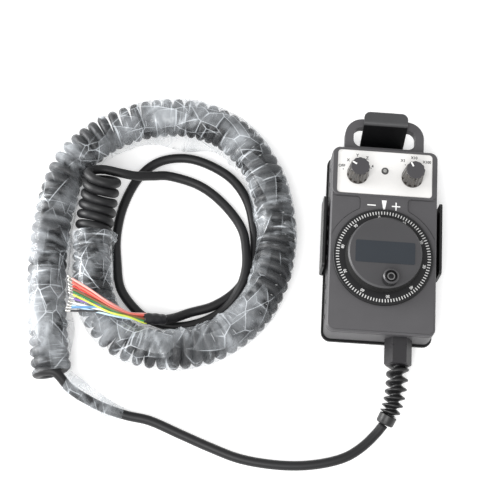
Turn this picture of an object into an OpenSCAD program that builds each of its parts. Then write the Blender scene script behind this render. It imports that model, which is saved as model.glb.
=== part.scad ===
// Handheld pulse generator pendant on its sheet-metal hanger.
// The pendant lies face up: X to the right, Y towards the carrying loop, Z out of the face.
// z = 0 is the back of the hanger plate, and x = 0, y = 0 is the middle of the housing.

/* [Housing] */
// Width of the housing
body_w = 86; // [80:1:96]
// Length of the housing without the loop
body_l = 155; // [148:1:170]
// Depth of the front cover
front_d = 16; // [15:0.5:20]
// Depth of the back shell
back_d = 12; // [11:0.5:18]
// Radius of the housing's corners in plan
corner_r = 6; // [3:0.5:8]
// Wall thickness of both shells
wall = 2.5; // [2:0.1:3.2]
// Chamfer round the front face
face_chamfer = 1.2; // [0.6:0.1:1.8]
// Rounding of the back shell's rear edge
rear_chamfer = 2.5; // [1:0.1:3]
// Depth of the shadow line under the front face
shadow_in = 0.8; // [0.4:0.1:1.2]
// Height of the shadow line
shadow_h = 1.2; // [0.8:0.1:1.6]
// Height of the raised middle field above the side cheeks
field_h = 0.8; // [0.4:0.1:1.2]
// Width of the raised field's neck under the panel
neck_w = 38; // [30:1:44]
// Radius of the cheeks' corners beside the neck
cheek_r = 3; // [2:0.5:4]
// Width of the groove round the raised field
groove_w = 0.7; // [0.4:0.1:1]
// Height of the bezel rim above the field
rim_h = 0.6; // [0.4:0.1:1]
// Diameter of the housing screws
screw_d = 3; // [2.5:0.1:3.5]
// Thickness of the gasket between the shells
gasket_t = 1; // [0.8:0.1:1.4]

/* [Panel] */
// Width of the control panel
panel_w = 77; // [72:1:78]
// Length of the control panel
panel_l = 37.5; // [36:0.5:40]
// Thickness of the control panel
panel_t = 1; // [0.8:0.1:1.4]
// Radius of the panel's corners
panel_r = 3; // [1:0.5:4]
// Rim of the housing above the panel
panel_top_rim = 2.2; // [2:0.1:4]
// Distance between the two selector knobs
knob_spread = 44.4; // [40:0.2:48]
// Distance of the knobs below the housing's top end
knob_drop = 23; // [21:0.5:25]
// Distance of the lamp below the housing's top end
lamp_drop = 18.8; // [16:0.2:24]
// Diameter of the lamp's bezel
lamp_d = 6; // [5:0.2:8]

/* [Selector knobs] */
// Diameter of a knob at its foot
knob_d = 17.6; // [16:0.2:20]
// Diameter of a knob at its top
knob_top_d = 15.6; // [14:0.2:16]
// Height of a knob
knob_h = 17.5; // [14:0.5:20]
// Number of flutes round a knob
knob_flutes = 12; // [10:1:16]
// Diameter of a switch shaft
switch_shaft_d = 6; // [5:0.1:6.5]
// Outside diameter of a switch bush
bush_d = 9; // [8.5:0.1:10]
// Side of a square switch body
switch_w = 24; // [20:1:26]
// Depth of a switch body
switch_d = 11; // [8:0.5:11.5]

/* [Handwheel] */
// Outside diameter of the dial
dial_d = 80; // [74:1:80]
// Thickness of the dial at its rim
dial_t = 2.8; // [2:0.1:4]
// Gap between the dial and the housing face
dial_gap = 0.5; // [0.4:0.1:1]
// Distance of the wheel's axis from the housing's bottom end
dial_from_end = 62; // [60:0.5:64]
// Diameter of the hub at its foot
hub_d = 61; // [56:0.5:64]
// Diameter of the hub at its top
hub_top_d = 58.5; // [54:0.5:60]
// Height of the hub above the dial
hub_h = 11; // [8:0.5:14]
// Diameter of the wheel's shaft
shaft_d = 8; // [6:0.5:10]
// Diameter of the spinner knob
spinner_d = 12.5; // [11:0.5:14]
// Height of the spinner knob
spinner_h = 9; // [7:0.5:12]
// Distance of the spinner knob from the wheel's axis
spinner_r = 22.5; // [18:0.5:22.5]
// Angle of the spinner knob round the dial
spinner_angle = -80; // [-180:5:180]

/* [Pulse encoder] */
// Outside diameter of the encoder can
can_d = 56; // [50:1:60]
// Height of the encoder can
can_h = 18; // [17:0.5:18.5]
// Wall of the encoder can
can_wall = 2; // [1.5:0.1:3]
// Outside diameter of a ball bearing
bearing_d = 16; // [14:0.5:18]
// Width of a ball bearing
bearing_w = 4; // [3:0.5:4.5]
// Number of notches on the detent wheel, one for each click
clicks = 100; // [50:10:100]

/* [Loop] */
// Outside width of the carrying loop
loop_w = 65; // [60:1:70]
// Width of the loop's side bars
loop_bar = 7; // [6:0.5:8]
// Width of the loop's top bar
loop_top_bar = 7.2; // [6:0.2:8]
// Reach of the loop beyond the housing
loop_reach = 29; // [28:0.5:34]
// Thickness of the loop
loop_t = 8; // [6:0.5:9]
// Outside radius of the loop's corners
loop_r = 14.5; // [10:0.5:16]
// Web between the housing and the loop's window
loop_root = 4.5; // [3:0.5:6]

/* [Hanger] */
// Thickness of the hanger's steel sheet
sheet_t = 2; // [1.5:0.1:2.5]
// Margin of the hanger plate round the housing
plate_margin = 1.5; // [1:0.1:3]
// Width of the hook and its strap
hook_w = 36; // [30:1:40]
// Reach of the hook's lip beyond the housing
hook_reach = 32.5; // [32:0.5:40]
// Distance from the housing's top end to the strap's foot
strap_foot = 13; // [12:0.5:14]
// Length of the side arms
arm_l = 60; // [40:1:80]
// Height of the side arms
arm_h = 26; // [18:1:28]
// Gap between a side arm and the housing
arm_gap = 3; // [1:0.5:4]
// Diameter of the hanger's fixing holes
fix_d = 5.5; // [4.5:0.5:6.5]
// Distance between the fixing holes across the plate
fix_x = 50; // [40:1:60]
// Distance between the fixing holes along the plate
fix_y = 100; // [80:1:120]

/* [Cable gland] */
// Distance of the gland from the housing's centre line
gland_x = 16; // [10:1:20]
// Width across the flats of the gland's hexagons
gland_af = 19; // [17:0.5:20]
// Diameter of the gland's thread
gland_thread = 15.2; // [12:0.2:16]
// Length of the gland's cap nut
gland_nut_l = 15; // [12:0.5:20]
// Diameter of the cable
cable_d = 7.5; // [6.5:0.1:8]
// Outside diameter of the coiled cable
coil_d = 31; // [26:0.5:31]

/* [Hidden] */

$fn = 64;
eps = 0.01;

// Clearances
body_gap = 0.3;      // between the pendant and the hanger
run_gap = 0.04;      // radial, a shaft turning in its bearing
fit_gap = 0.05;      // radial, pieces that sit in each other
hole_gap = 0.25;     // radial, a screw in its hole

// Levels along Z
back_z = sheet_t + body_gap;
part_z = back_z + back_d;
face_z = part_z + front_d;
cheek_z = face_z - field_h;
rim_z = face_z + rim_h;
roof_z = face_z - wall;
floor_z = back_z + wall;

// Places along Y
top_y = body_l / 2;
end_y = -body_l / 2;
dial_y = end_y + dial_from_end;
knob_y = top_y - knob_drop;
lamp_y = top_y - lamp_drop;
panel_y = top_y - panel_top_rim - panel_l / 2;
panel_end_y = panel_y - panel_l / 2;

// Panel
panel_gap = 0.15;
panel_sink = 0.2;
panel_z = face_z - panel_sink;
panel_bed_z = panel_z - panel_t;
rim_edge = 0.5;
rim_in = 0.3;
bush_hole_d = bush_d + 0.4;
lamp_barrel_d = lamp_d - 1;
lamp_hole_d = lamp_barrel_d + 0.3;
lamp_bore_d = lamp_d - 2.4;

// Front cover
front_slab = 3;      // the outer step of the cover, above its shadow line
field_in = 0.5;      // ledge between the face's bevel and the raised field
groove_t = 0.5;
rim_end_y = panel_end_y - panel_top_rim;
root = 1;            // how far a raised form goes down into the form below it
thread_spare = 3;    // depth of a blind screw hole past its screw

// Handwheel
field_margin = 4.7;
field_r = dial_d / 2 + field_margin;
dial_z = face_z + dial_gap;
hub_z = dial_z + dial_t;
hub_top_z = hub_z + hub_h;
hub_wall = 3;
dial_web = 1.6;
ring_hole_d = hub_top_d - 14;
hub_screw_r = 14;
hub_screw_bite = 5.5;
hub_head_d = screw_d + 2;
hub_head_t = 1.1;
hub_boss_d = screw_d + 4;
spinner_x = spinner_r * cos(spinner_angle);
spinner_y = dial_y + spinner_r * sin(spinner_angle);
spinner_z = hub_top_z + 0.4;
spinner_pin_d = 5;
spinner_thread_d = spinner_pin_d - 1;
spinner_thread_low = 3;
spinner_head_d = 6;
spinner_head_h = 2.6;
spinner_recess = 4;
spinner_recess_d = spinner_d - 3;

// Encoder
can_z = roof_z - can_h;
can_roof = 2;
can_in_r = can_d / 2 - can_wall;
disc_d = 2 * can_in_r - 12;
collar_d = bearing_d + 2 * can_wall;
collar_h = wall;
end_plate_floor = 0.5;
end_plate_t = bearing_w + end_plate_floor;
end_plate_d = can_d - 2 * can_wall - 2 * fit_gap;
upper_bearing_z = roof_z + collar_h - bearing_w;
shaft_low_z = can_z + 0.6;
disc_t = 1;
disc_rise = 2.6;
disc_z = can_z + end_plate_t + disc_rise;
detent_d = disc_d - 6;
detent_t = 3.2;
detent_z = disc_z + disc_t + disc_rise;
sensor_w = 14;
sensor_gap = 1.4;    // between the sensor board and the can
fork_gap = 0.5;      // above and below the disc in the sensor's fork
notch_h = 0.45;
ball_d = 3;
ball_gap = 0.15;
ball_x = detent_d / 2 + ball_gap + ball_d / 2;
encoder_screw_r = can_d / 2 - 5;
encoder_head_t = 1.3;

// Loop and hook
loop_z = part_z;
loop_top_z = loop_z + loop_t;
loop_in_r = loop_r - loop_bar;
window_y = top_y + loop_root;
window_w = loop_w - 2 * loop_bar;
window_end_y = top_y + loop_reach - loop_top_bar;
strap_y = top_y + strap_foot;
lip_z = face_z - sheet_t / 2;
lip_l = 9.9;
lip_y = top_y + hook_reach - lip_l;
hook_end_y = top_y + hook_reach;
lip_r = 5;

// Plate
plate_w = body_w + 2 * plate_margin;
plate_y = end_y - plate_margin;
plate_r = corner_r + plate_margin;
arm_x = body_w / 2 + arm_gap;
arm_y = dial_y - 8.5;
arm_foot = 8;        // how far the arm's foot goes in under the housing
strap_in = 20;       // where the strap's blank begins on the plate
arm_r = 3;
bend_r = 2;

// Gland
gland_z = part_z - 0.3;
gland_flange_t = 6.5;
gland_in = 8;
gland_thread_l = 8;
gland_nut_t = 4;
locknut_af = gland_af - 1.2;
seal_wall = 1.7;
seal_l = 6;
gland_tip_y = end_y - gland_flange_t - gland_nut_l;
gland_bore_d = cable_d + 1;
hole_d = gland_thread + 0.4;

// Selector knobs
switch_top_z = roof_z;
switch_z = switch_top_z - switch_d;
bush_top_z = panel_z + 4.5;
nut_t = 2;
nut_af = 12;
knob_gap = 0.5;
knob_z = panel_z + knob_gap;
knob_top_z = knob_z + knob_h;
knob_recess_d = 14.6;
knob_recess_h = 5.2;
knob_foot = 1.6;
knob_edge = 0.8;
knob_roof = 4;
flute_r = 1.7;
flute_out = 0.55;
shaft_flat = 0.8;
shaft_low = switch_z + 2;
flat_z = bush_top_z + 0.5;
pointer_l = 4.6;
pointer_w = 1.3;
pointer_t = 0.5;
pointer_end = 0.7;

// At rest both knobs point to their first place
axis_angle = 150;
multiplier_angle = 120;

// Screws that join the shells, from the back
boss_d = 7.5;
boss_in = wall + boss_d / 2 - 0.8;
screw_head_d = screw_d * 1.9;
screw_head_t = screw_d * 0.7;
screw_l = 14;
boss_places = [
    for (sx = [-1, 1]) for (y = [top_y - boss_in, dial_y + field_r + 2, end_y + boss_in])
        [sx * (body_w / 2 - boss_in), y]
];

// Circuit board
board_w = 62;
board_l = 26;
board_t = 1.6;
board_in = 5;
board_y = top_y - wall - board_in - board_l / 2;
board_z = floor_z + 2.2;
board_hole_in = 4;
board_post_d = screw_d + 3;
board_screw_d = screw_d - 0.2;
board_head_d = screw_d + 2;
board_head_t = 1.6;
terminal_pitch = 3.8;
terminal_count = 6;
terminal_l = 6;
terminal_h = 5;
board_places = [
    for (sx = [-1, 1]) for (sy = [-1, 1])
        [sx * (board_w / 2 - board_hole_in), board_y + sy * (board_l / 2 - board_hole_in)]
];

// Cable
coil_r = coil_d / 2;
cable_r = cable_d / 2;
relief_gap = 0.1;
relief_l = 38;
relief_turns = 6;
relief_start = 0.7;
relief_pitch = 6.9;
relief_core = cable_r + 0.3;
relief_ridge = [5, 3.8];
relief_ridge_w = 2.8;
relief_tip = 1.25;
collar_r = 7;
collar_l = 8;
sleeve_d = 9;
wire_d = 1.4;
film_t = 0.4;
film_gap = 0.4;

// Centre line of the spiral relief, from the nut to its collar
relief_a = [gland_x, gland_tip_y - relief_gap, gland_z];
relief_b = [gland_x, gland_tip_y - relief_l * 0.68, gland_z];
relief_c = [gland_x - 5.4, gland_tip_y - relief_l, collar_r + 2.6];

// Routes of the cable's centre line
lead_route = [
    [7, -144.8, 6.9], [1, -152.6, 4.9], [-9, -163, 3.8], [-22, -172, 3.8], [-40, -178, 3.8], [-60, -181, 3.8],
    [-82, -181, 3.8], [-105, -178, 3.8], [-127, -171, 3.8], [-151, -162, 3.8], [-175, -153, 3.8],
    [-193, -150, 3.8], [-210, -146, 6], [-225, -141, 12], [-238, -135, 20], [-247, -130, 25.5],
    [-252, -122, 25]
];
coil_route = [
    [-253, -124, 16.6], [-257, -105, 16.6], [-260, -85, 16.6], [-263, -64, 16.6], [-265, -36, 16.6],
    [-265, -10, 16.6], [-262, 20, 16.6], [-255, 48, 16.6], [-242, 66, 16.6], [-223, 82, 16.6], [-193, 95, 16.6],
    [-160, 98, 16.6], [-128, 88, 16.6], [-102, 62, 16.6], [-88, 28, 16.6], [-84, -6, 16.6], [-89, -39, 16.6],
    [-104, -68, 16.6], [-129, -89, 16.6], [-156, -98, 16.6], [-183, -98, 16.6], [-204, -90, 16.6],
    [-219, -74, 16.6], [-227, -54, 16.6], [-230, -31, 16.6], [-231, -8, 17.6], [-230, 12, 21.6],
    [-229, 27, 30], [-229, 38, 39]
];
tail_route = [
    [-216, 40, 34], [-202, 46, 24], [-188, 51, 15], [-174, 53, 8], [-149, 45, 3.9], [-129, 31, 3.8],
    [-113, 11, 4.5], [-108, -10, 8.5], [-108, -31, 11.8], [-115, -50, 8.5], [-127, -63, 4.2],
    [-143, -72, 3.8], [-161, -76, 3.8], [-177, -73, 3.8], [-191, -66, 3.8], [-206, -48, 3.8],
    [-211, -25, 3.8], [-213, -3, 3.8], [-210, 21, 3.8], [-202, 43, 3.8], [-191, 58, 3.8],
    [-177, 66, 3.8], [-158, 68, 3.8], [-138, 62, 3.8], [-121, 51, 3.8], [-109, 34, 3.8],
    [-103, 13, 3.8], [-101, -8, 3.8], [-105, -28, 3.8], [-116, -45, 3.8], [-132, -57, 3.8],
    [-150, -64, 5], [-161, -70, 9.5], [-171, -75, 17.5]
];
film_route = [for (i = [0 : 25]) coil_route[i]];
sleeve_route = [[-171, -75, 17.5], [-186, -78, 29.5]];
wire_count = 12;
wire_start = sleeve_route[1];

// ---------- shared shapes ----------

// A rectangle with round corners, centred
module rounded(w, l, r) {
    square([w - 2 * r, l], center = true);
    square([w, l - 2 * r], center = true);
    for (sx = [-1, 1]) for (sy = [-1, 1])
        translate([sx * (w / 2 - r), sy * (l / 2 - r)]) circle(r);
}

// The same rectangle as a slab
module slab(w, l, h, r) {
    linear_extrude(h) rounded(w, l, r);
}

// A slab whose upper edge is bevelled by c
module bevelled_slab(w, l, h, r, c) {
    hull() {
        slab(w, l, h - c, r, $fn = 32);
        slab(w - 2 * c, l - 2 * c, h, r - c / 2, $fn = 32);
    }
}

// A hexagonal prism, across flats af
module hexagon(af, h) {
    cylinder(h = h, r = af / 2 / cos(30), $fn = 6);
}

// A bent strip of sheet: the 2D outline of width t along a list of points
function left_of(a, b, t) = let (d = (b - a) / norm(b - a)) [-d[1], d[0]] * t;
function mitre(p, i, t) =
    i == 0 ? p[0] + left_of(p[0], p[1], t)
    : i == len(p) - 1 ? p[i] + left_of(p[i - 1], p[i], t)
    : let (
        a = left_of(p[i - 1], p[i], 1),
        b = left_of(p[i], p[i + 1], 1),
        m = (a + b) / norm(a + b)
      ) p[i] + m * t / (m * a);
function bend(a, b, c, r, n) = let (
        u = (a - b) / norm(a - b),
        v = (c - b) / norm(c - b),
        half = acos(u * v) / 2,
        centre = b + (u + v) / norm(u + v) * r / sin(half),
        from = b + u * r / tan(half) - centre,
        to = b + v * r / tan(half) - centre
    ) [for (i = [0 : n]) let (m = from * (1 - i / n) + to * i / n) centre + m / norm(m) * r];
module strip(p, t) {
    n = len(p) - 1;
    polygon(concat(
        [for (i = [0 : n]) mitre(p, i, t / 2)],
        [for (i = [n : -1 : 0]) mitre(p, i, -t / 2)]
    ));
}

// A tube swept along points with a radius for each ring and each side
function unit(v) = v / norm(v);
function heading(p, i) = unit(p[min(i + 1, len(p) - 1)] - p[max(i - 1, 0)]);
function ring(centre, along, sides, radii) = let (
        side = unit(cross(along, [0, 0, 1])),
        up = cross(side, along)
    ) [for (k = [0 : sides - 1]) let (a = 360 * (k + 0.5) / sides)
        centre + radii[k] * (side * cos(a) + up * sin(a))];
module swept(p, sides, radii) {
    n = len(p);
    points = [for (i = [0 : n - 1]) each ring(p[i], heading(p, i), sides, radii[i])];
    skin = [for (i = [0 : n - 2]) for (k = [0 : sides - 1]) let (
            a = i * sides + k,
            b = i * sides + (k + 1) % sides
        ) each [[a, b, a + sides], [b, b + sides, a + sides]]];
    start = [for (k = [sides - 1 : -1 : 0]) k];
    finish = [for (k = [0 : sides - 1]) (n - 1) * sides + k];
    polyhedron(points, concat(skin, [start], [finish]), convexity = 10);
}
module tube(p, r, sides) {
    swept(p, sides, [for (i = p) [for (k = [1 : sides]) r / cos(180 / sides) ]]);
}
module round_bar(a, b, r) {
    d = b - a;
    translate(a)
        rotate([0, acos(d[2] / norm(d)), atan2(d[1], d[0])])
            cylinder(h = norm(d), r = r);
}

// ---------- hanger ----------

// One steel blank: plate, two side arms and the strap that ends in the hook's lip
module hanger_bracket() {
    strap_half = sheet_t / 2;
    side = [
        [end_y + strap_in, strap_half], [strap_y, strap_half], [lip_y, lip_z], [hook_end_y, lip_z]
    ];
    bent = concat(
        [side[0]],
        bend(side[0], side[1], side[2], bend_r + strap_half, 6),
        bend(side[1], side[2], side[3], bend_r + strap_half, 6),
        [side[3]]
    );
    color("#3c3c40") difference() {
        union() {
            slab(plate_w, body_l + 2 * plate_margin, sheet_t, plate_r);
            intersection() {
                rotate([90, 0, 90])
                    translate([0, 0, -hook_w / 2])
                        linear_extrude(hook_w) strip(bent, sheet_t);
                translate([0, hook_end_y - body_l / 2, 0])
                    slab(hook_w, body_l, face_z + sheet_t, lip_r);
            }
            for (s = [0, 1]) mirror([s, 0, 0]) side_arm();
        }
        for (x = [-1, 1]) for (y = [-1, 1])
            translate([x * fix_x / 2, y * fix_y / 2, -eps])
                cylinder(h = sheet_t + 2 * eps, d = fix_d);
    }
}
module side_arm() {
    t = sheet_t / 2;
    corner = [
        [body_w / 2 - arm_foot, t], [arm_x + t, t], [arm_x + t, arm_h]
    ];
    bent = concat([corner[0]], bend(corner[0], corner[1], corner[2], bend_r + t, 6), [corner[2]]);
    intersection() {
        translate([0, arm_y + arm_l, 0])
            rotate([90, 0, 0])
                linear_extrude(arm_l) strip(bent, sheet_t);
        // The arm's upper corners are round
        translate([0, arm_y + arm_l / 2, arm_h / 2])
            rotate([90, 0, 90])
                linear_extrude(arm_x + 2 * sheet_t) {
                    rounded(arm_l, arm_h, arm_r);
                    translate([0, -arm_h / 4]) square([arm_l, arm_h / 2], center = true);
                }
    }
}

// ---------- housing ----------

// The raised field: it follows the dial's arc and narrows to a neck under the panel.
// grow is how far its outline is moved out, for the groove that runs round it
module field(grow) {
    inset = 2 * (face_chamfer + field_in - grow);
    r = field_r + grow;
    n = neck_w / 2 + grow;
    f = cheek_r - grow;
    turn_y = dial_y + sqrt(pow(r + f, 2) - pow(n + f, 2));
    foot = [n + f, turn_y - dial_y] * r / (r + f) + [0, dial_y];
    intersection() {
        rounded(body_w - inset, body_l - inset, corner_r - face_chamfer);
        union() {
            translate([0, dial_y]) circle(r, $fn = 96);
            translate([-body_w, end_y]) square([2 * body_w, dial_y - end_y]);
            translate([-n, dial_y]) square([2 * n, rim_end_y + root - dial_y]);
            translate([-body_w, rim_end_y - grow]) square([2 * body_w, grow + root]);
            for (s = [0, 1]) mirror([s, 0]) difference() {
                union() {
                    polygon([[0, dial_y], foot, [n + f, turn_y], [0, turn_y]]);
                    translate([0, rim_end_y - f - grow]) square([n + f, f + grow + root]);
                }
                translate([n + f, turn_y]) circle(f);
                translate([n + f, rim_end_y - f - grow]) circle(f);
            }
        }
    }
}
module loop_outline() {
    translate([0, top_y + loop_reach / 2 - loop_r / 2])
        rounded(loop_w, loop_reach + loop_r, loop_r);
}
module window_outline() {
    translate([0, (window_y + window_end_y) / 2])
        rounded(window_w, window_end_y - window_y, loop_in_r - 1);
}
module front_cover() {
    body_in = [body_w - 2 * wall, body_l - 2 * wall];
    top_h = cheek_z - part_z;
    color("#54545a") difference() {
        union() {
            translate([0, 0, part_z]) {
                slab(body_w, body_l, top_h - shadow_h - front_slab, corner_r);
                slab(body_w - 2 * shadow_in, body_l - 2 * shadow_in,
                    top_h - front_slab + root, corner_r - shadow_in);
            }
            translate([0, 0, cheek_z - front_slab])
                bevelled_slab(body_w, body_l, front_slab, corner_r, face_chamfer);
            translate([0, 0, cheek_z - root]) linear_extrude(field_h + root) field(0);
            translate([0, (top_y + rim_end_y) / 2, cheek_z - root])
                bevelled_slab(body_w - 2 * rim_in, top_y - rim_end_y - 2 * rim_in,
                    field_h + rim_h + root, corner_r, rim_edge);
            translate([0, 0, loop_z]) linear_extrude(loop_t) difference() {
                loop_outline();
                window_outline();
                translate([0, -wall]) square([loop_w + 1, body_l], center = true);
            }
        }
        difference() {
            translate([0, 0, part_z - eps])
                slab(body_in[0], body_in[1], roof_z - part_z + eps, corner_r - wall / 2);
            for (p = boss_places) translate([p[0], p[1], part_z - root])
                cylinder(h = front_d, d = boss_d);
        }
        for (p = boss_places) translate([p[0], p[1], part_z - eps])
            cylinder(h = screw_l - back_d + wall + thread_spare, r = screw_d / 2 + fit_gap);
        gasket_groove();
        gland_hole();
        // Groove in the side cheeks, round the raised field
        translate([0, 0, cheek_z - groove_t]) linear_extrude(groove_t + field_h / 2) intersection() {
            difference() {
                field(groove_w);
                field(0);
            }
            rounded(body_w - 2 * (face_chamfer + field_in), 2 * rim_end_y, corner_r - face_chamfer);
        }
        // Panel bed, with the openings for the switch bushes and the lamp
        translate([0, panel_y, panel_bed_z])
            slab(panel_w + 2 * panel_gap, panel_l + 2 * panel_gap, front_d, panel_r);
        for (s = [-1, 1]) translate([s * knob_spread / 2, knob_y, part_z])
            cylinder(h = front_d + 1, d = bush_hole_d);
        translate([0, lamp_y, part_z]) cylinder(h = front_d + 1, d = lamp_hole_d);
        // Encoder collar and its screws
        translate([0, dial_y, roof_z - eps]) cylinder(h = wall + 1, d = collar_d + 2 * panel_gap);
        encoder_screw_places() {
            translate([0, 0, roof_z - eps]) cylinder(h = wall + 1, r = screw_d / 2 + hole_gap);
            translate([0, 0, face_z - encoder_head_t - body_gap])
                cylinder(h = wall, r = screw_d + hole_gap);
        }
    }
}
module encoder_screw_places() {
    for (a = [30, 150, 270])
        translate([encoder_screw_r * cos(a), dial_y + encoder_screw_r * sin(a), 0]) children();
}
module gland_hole() {
    translate([gland_x, end_y + wall + 1, gland_z])
        rotate([90, 0, 0]) cylinder(h = wall + 4, d = hole_d);
}
module gasket_ring(grow) {
    gasket_in = 0.3;
    difference() {
        rounded(body_w - wall + grow, body_l - wall + grow, corner_r - 1);
        rounded(
            body_w - 2 * wall + 2 * gasket_in - grow,
            body_l - 2 * wall + 2 * gasket_in - grow,
            corner_r - 1 - gasket_in
        );
    }
}
module gasket_groove() {
    translate([0, 0, part_z - eps]) linear_extrude(gasket_t + fit_gap) gasket_ring(2 * fit_gap);
}
module housing_gasket() {
    color("#1d1d1f") difference() {
        translate([0, 0, part_z]) linear_extrude(gasket_t) gasket_ring(0);
        gland_hole();
        for (p = boss_places) translate([p[0], p[1], part_z - eps])
            cylinder(h = 2 * gasket_t, d = boss_d + 2 * fit_gap);
    }
}
module back_shell() {
    nib_pitch = 12.5;
    nib_l = 3;
    nib_h = 3.2;
    nib_out = 0.6;
    nib_foot = 1;
    color("#505056") difference() {
        union() {
            translate([0, 0, part_z]) mirror([0, 0, 1])
                bevelled_slab(body_w, body_l, back_d, corner_r, rear_chamfer);
            // Moulded nibs of the snap line along both sides
            for (s = [0, 1]) mirror([s, 0, 0]) for (i = [-5 : 5])
                translate([body_w / 2, i * nib_pitch, part_z - nib_h])
                    linear_extrude(nib_h) polygon([
                        [-nib_foot, -nib_l / 2 - nib_foot], [nib_out, -nib_l / 2],
                        [nib_out, nib_l / 2], [-nib_foot, nib_l / 2 + nib_foot]
                    ]);
        }
        difference() {
            translate([0, 0, floor_z])
                slab(body_w - 2 * wall, body_l - 2 * wall, back_d, corner_r - wall / 2);
            for (p = boss_places) translate([p[0], p[1], back_z])
                cylinder(h = back_d, d = boss_d);
            for (p = board_places) translate([p[0], p[1], back_z])
                cylinder(h = board_z - back_z, d = board_post_d);
        }
        for (p = boss_places) {
            translate([p[0], p[1], back_z - 1]) cylinder(h = back_d + 2, r = screw_d / 2 + hole_gap);
            translate([p[0], p[1], back_z - 1])
                cylinder(h = 1 + wall + screw_head_t, r = screw_head_d / 2 + hole_gap);
        }
        for (p = board_places) translate([p[0], p[1], floor_z])
            cylinder(h = board_z, r = screw_d / 2 + fit_gap);
        gland_hole();
    }
}
module cover_screws() {
    color("#8d8f94") for (p = boss_places) translate([p[0], p[1], back_z + wall])
        socket_screw(screw_d, screw_l, screw_head_d, screw_head_t);
}
// A screw that points up: its head lies below z = head_t, its shank above
module socket_screw(d, l, head_d, head_t) {
    difference() {
        union() {
            cylinder(h = head_t, d = head_d);
            cylinder(h = l, d = d);
        }
        translate([0, 0, -eps]) hexagon(d * 0.8, head_t * 0.7);
    }
}

// ---------- panel and switches ----------

module control_panel() {
    color("#f4f3ee") difference() {
        translate([0, panel_y, panel_bed_z]) slab(panel_w, panel_l, panel_t, panel_r);
        for (s = [-1, 1]) translate([s * knob_spread / 2, knob_y, panel_bed_z - 1])
            cylinder(h = panel_t + 2, d = bush_hole_d);
        translate([0, lamp_y, panel_bed_z - 1]) cylinder(h = panel_t + 2, d = lamp_hole_d);
    }
}
module lamp_bezel() {
    flange = 0.9;
    tail = 3;
    color("#9b9c98") translate([0, lamp_y, 0]) difference() {
        union() {
            translate([0, 0, panel_z]) cylinder(h = flange, d1 = lamp_d, d2 = lamp_d - flange);
            translate([0, 0, roof_z - tail]) cylinder(h = panel_z - roof_z + tail, d = lamp_barrel_d);
        }
        translate([0, 0, roof_z - tail - 1]) cylinder(h = front_d, d = lamp_bore_d);
    }
}
// The lamp stands on its two wires, and its dome looks out of the bezel
module lamp_lens() {
    r = lamp_bore_d / 2 - fit_gap;
    dome_z = panel_z + 0.4;
    foot_z = roof_z - 5;
    wire = 0.6;
    color("#7f807c") translate([0, lamp_y, 0]) {
        translate([0, 0, foot_z]) cylinder(h = dome_z - foot_z, r = r);
        translate([0, 0, dome_z]) difference() {
            sphere(r);
            translate([0, 0, -r]) cube(2 * r, center = true);
        }
        for (s = [-1, 1]) translate([s * r / 2, 0, board_z + board_t])
            cylinder(h = foot_z - board_z - board_t, d = wire);
    }
}
// The switch: a square body under the roof, its bush through housing and panel
module switch_unit() {
    pin_l = 1.6;
    pin_d = 1.2;
    pin_r = switch_w / 2 - 3;
    difference() {
        union() {
            translate([0, 0, switch_z]) slab(switch_w, switch_w, switch_d, 2);
            translate([0, 0, switch_top_z - root])
                cylinder(h = bush_top_z - switch_top_z + root, d = bush_d);
            for (a = [0 : 30 : 330]) rotate(a) translate([pin_r, 0, switch_z - pin_l])
                cylinder(h = pin_l + root, d = pin_d);
        }
        translate([0, 0, shaft_low])
            cylinder(h = bush_top_z, r = switch_shaft_d / 2 + run_gap);
    }
}
module switch_nut() {
    translate([0, 0, panel_z]) difference() {
        hexagon(nut_af, nut_t);
        translate([0, 0, -1]) cylinder(h = nut_t + 2, r = bush_d / 2 + fit_gap);
    }
}
module axis_switch() {
    color("#2c2c30") translate([-knob_spread / 2, knob_y, 0]) switch_unit();
}
module multiplier_switch() {
    color("#2c2c30") translate([knob_spread / 2, knob_y, 0]) switch_unit();
}
module axis_switch_nut() {
    color("#b9bab8") translate([-knob_spread / 2, knob_y, 0]) switch_nut();
}
module multiplier_switch_nut() {
    color("#b9bab8") translate([knob_spread / 2, knob_y, 0]) switch_nut();
}
// The switch shaft with its flat, up into the knob
module switch_shaft() {
    low = shaft_low + body_gap;
    difference() {
        translate([0, 0, low]) cylinder(h = knob_top_z - knob_roof - low, d = switch_shaft_d);
        translate([switch_shaft_d / 2 - shaft_flat, -switch_shaft_d, flat_z])
            cube([switch_shaft_d, 2 * switch_shaft_d, knob_h]);
    }
}
module axis_switch_shaft() {
    color("#c4c5c3") translate([-knob_spread / 2, knob_y, 0]) switch_shaft();
}
module multiplier_switch_shaft() {
    color("#c4c5c3") translate([knob_spread / 2, knob_y, 0]) switch_shaft();
}
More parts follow.
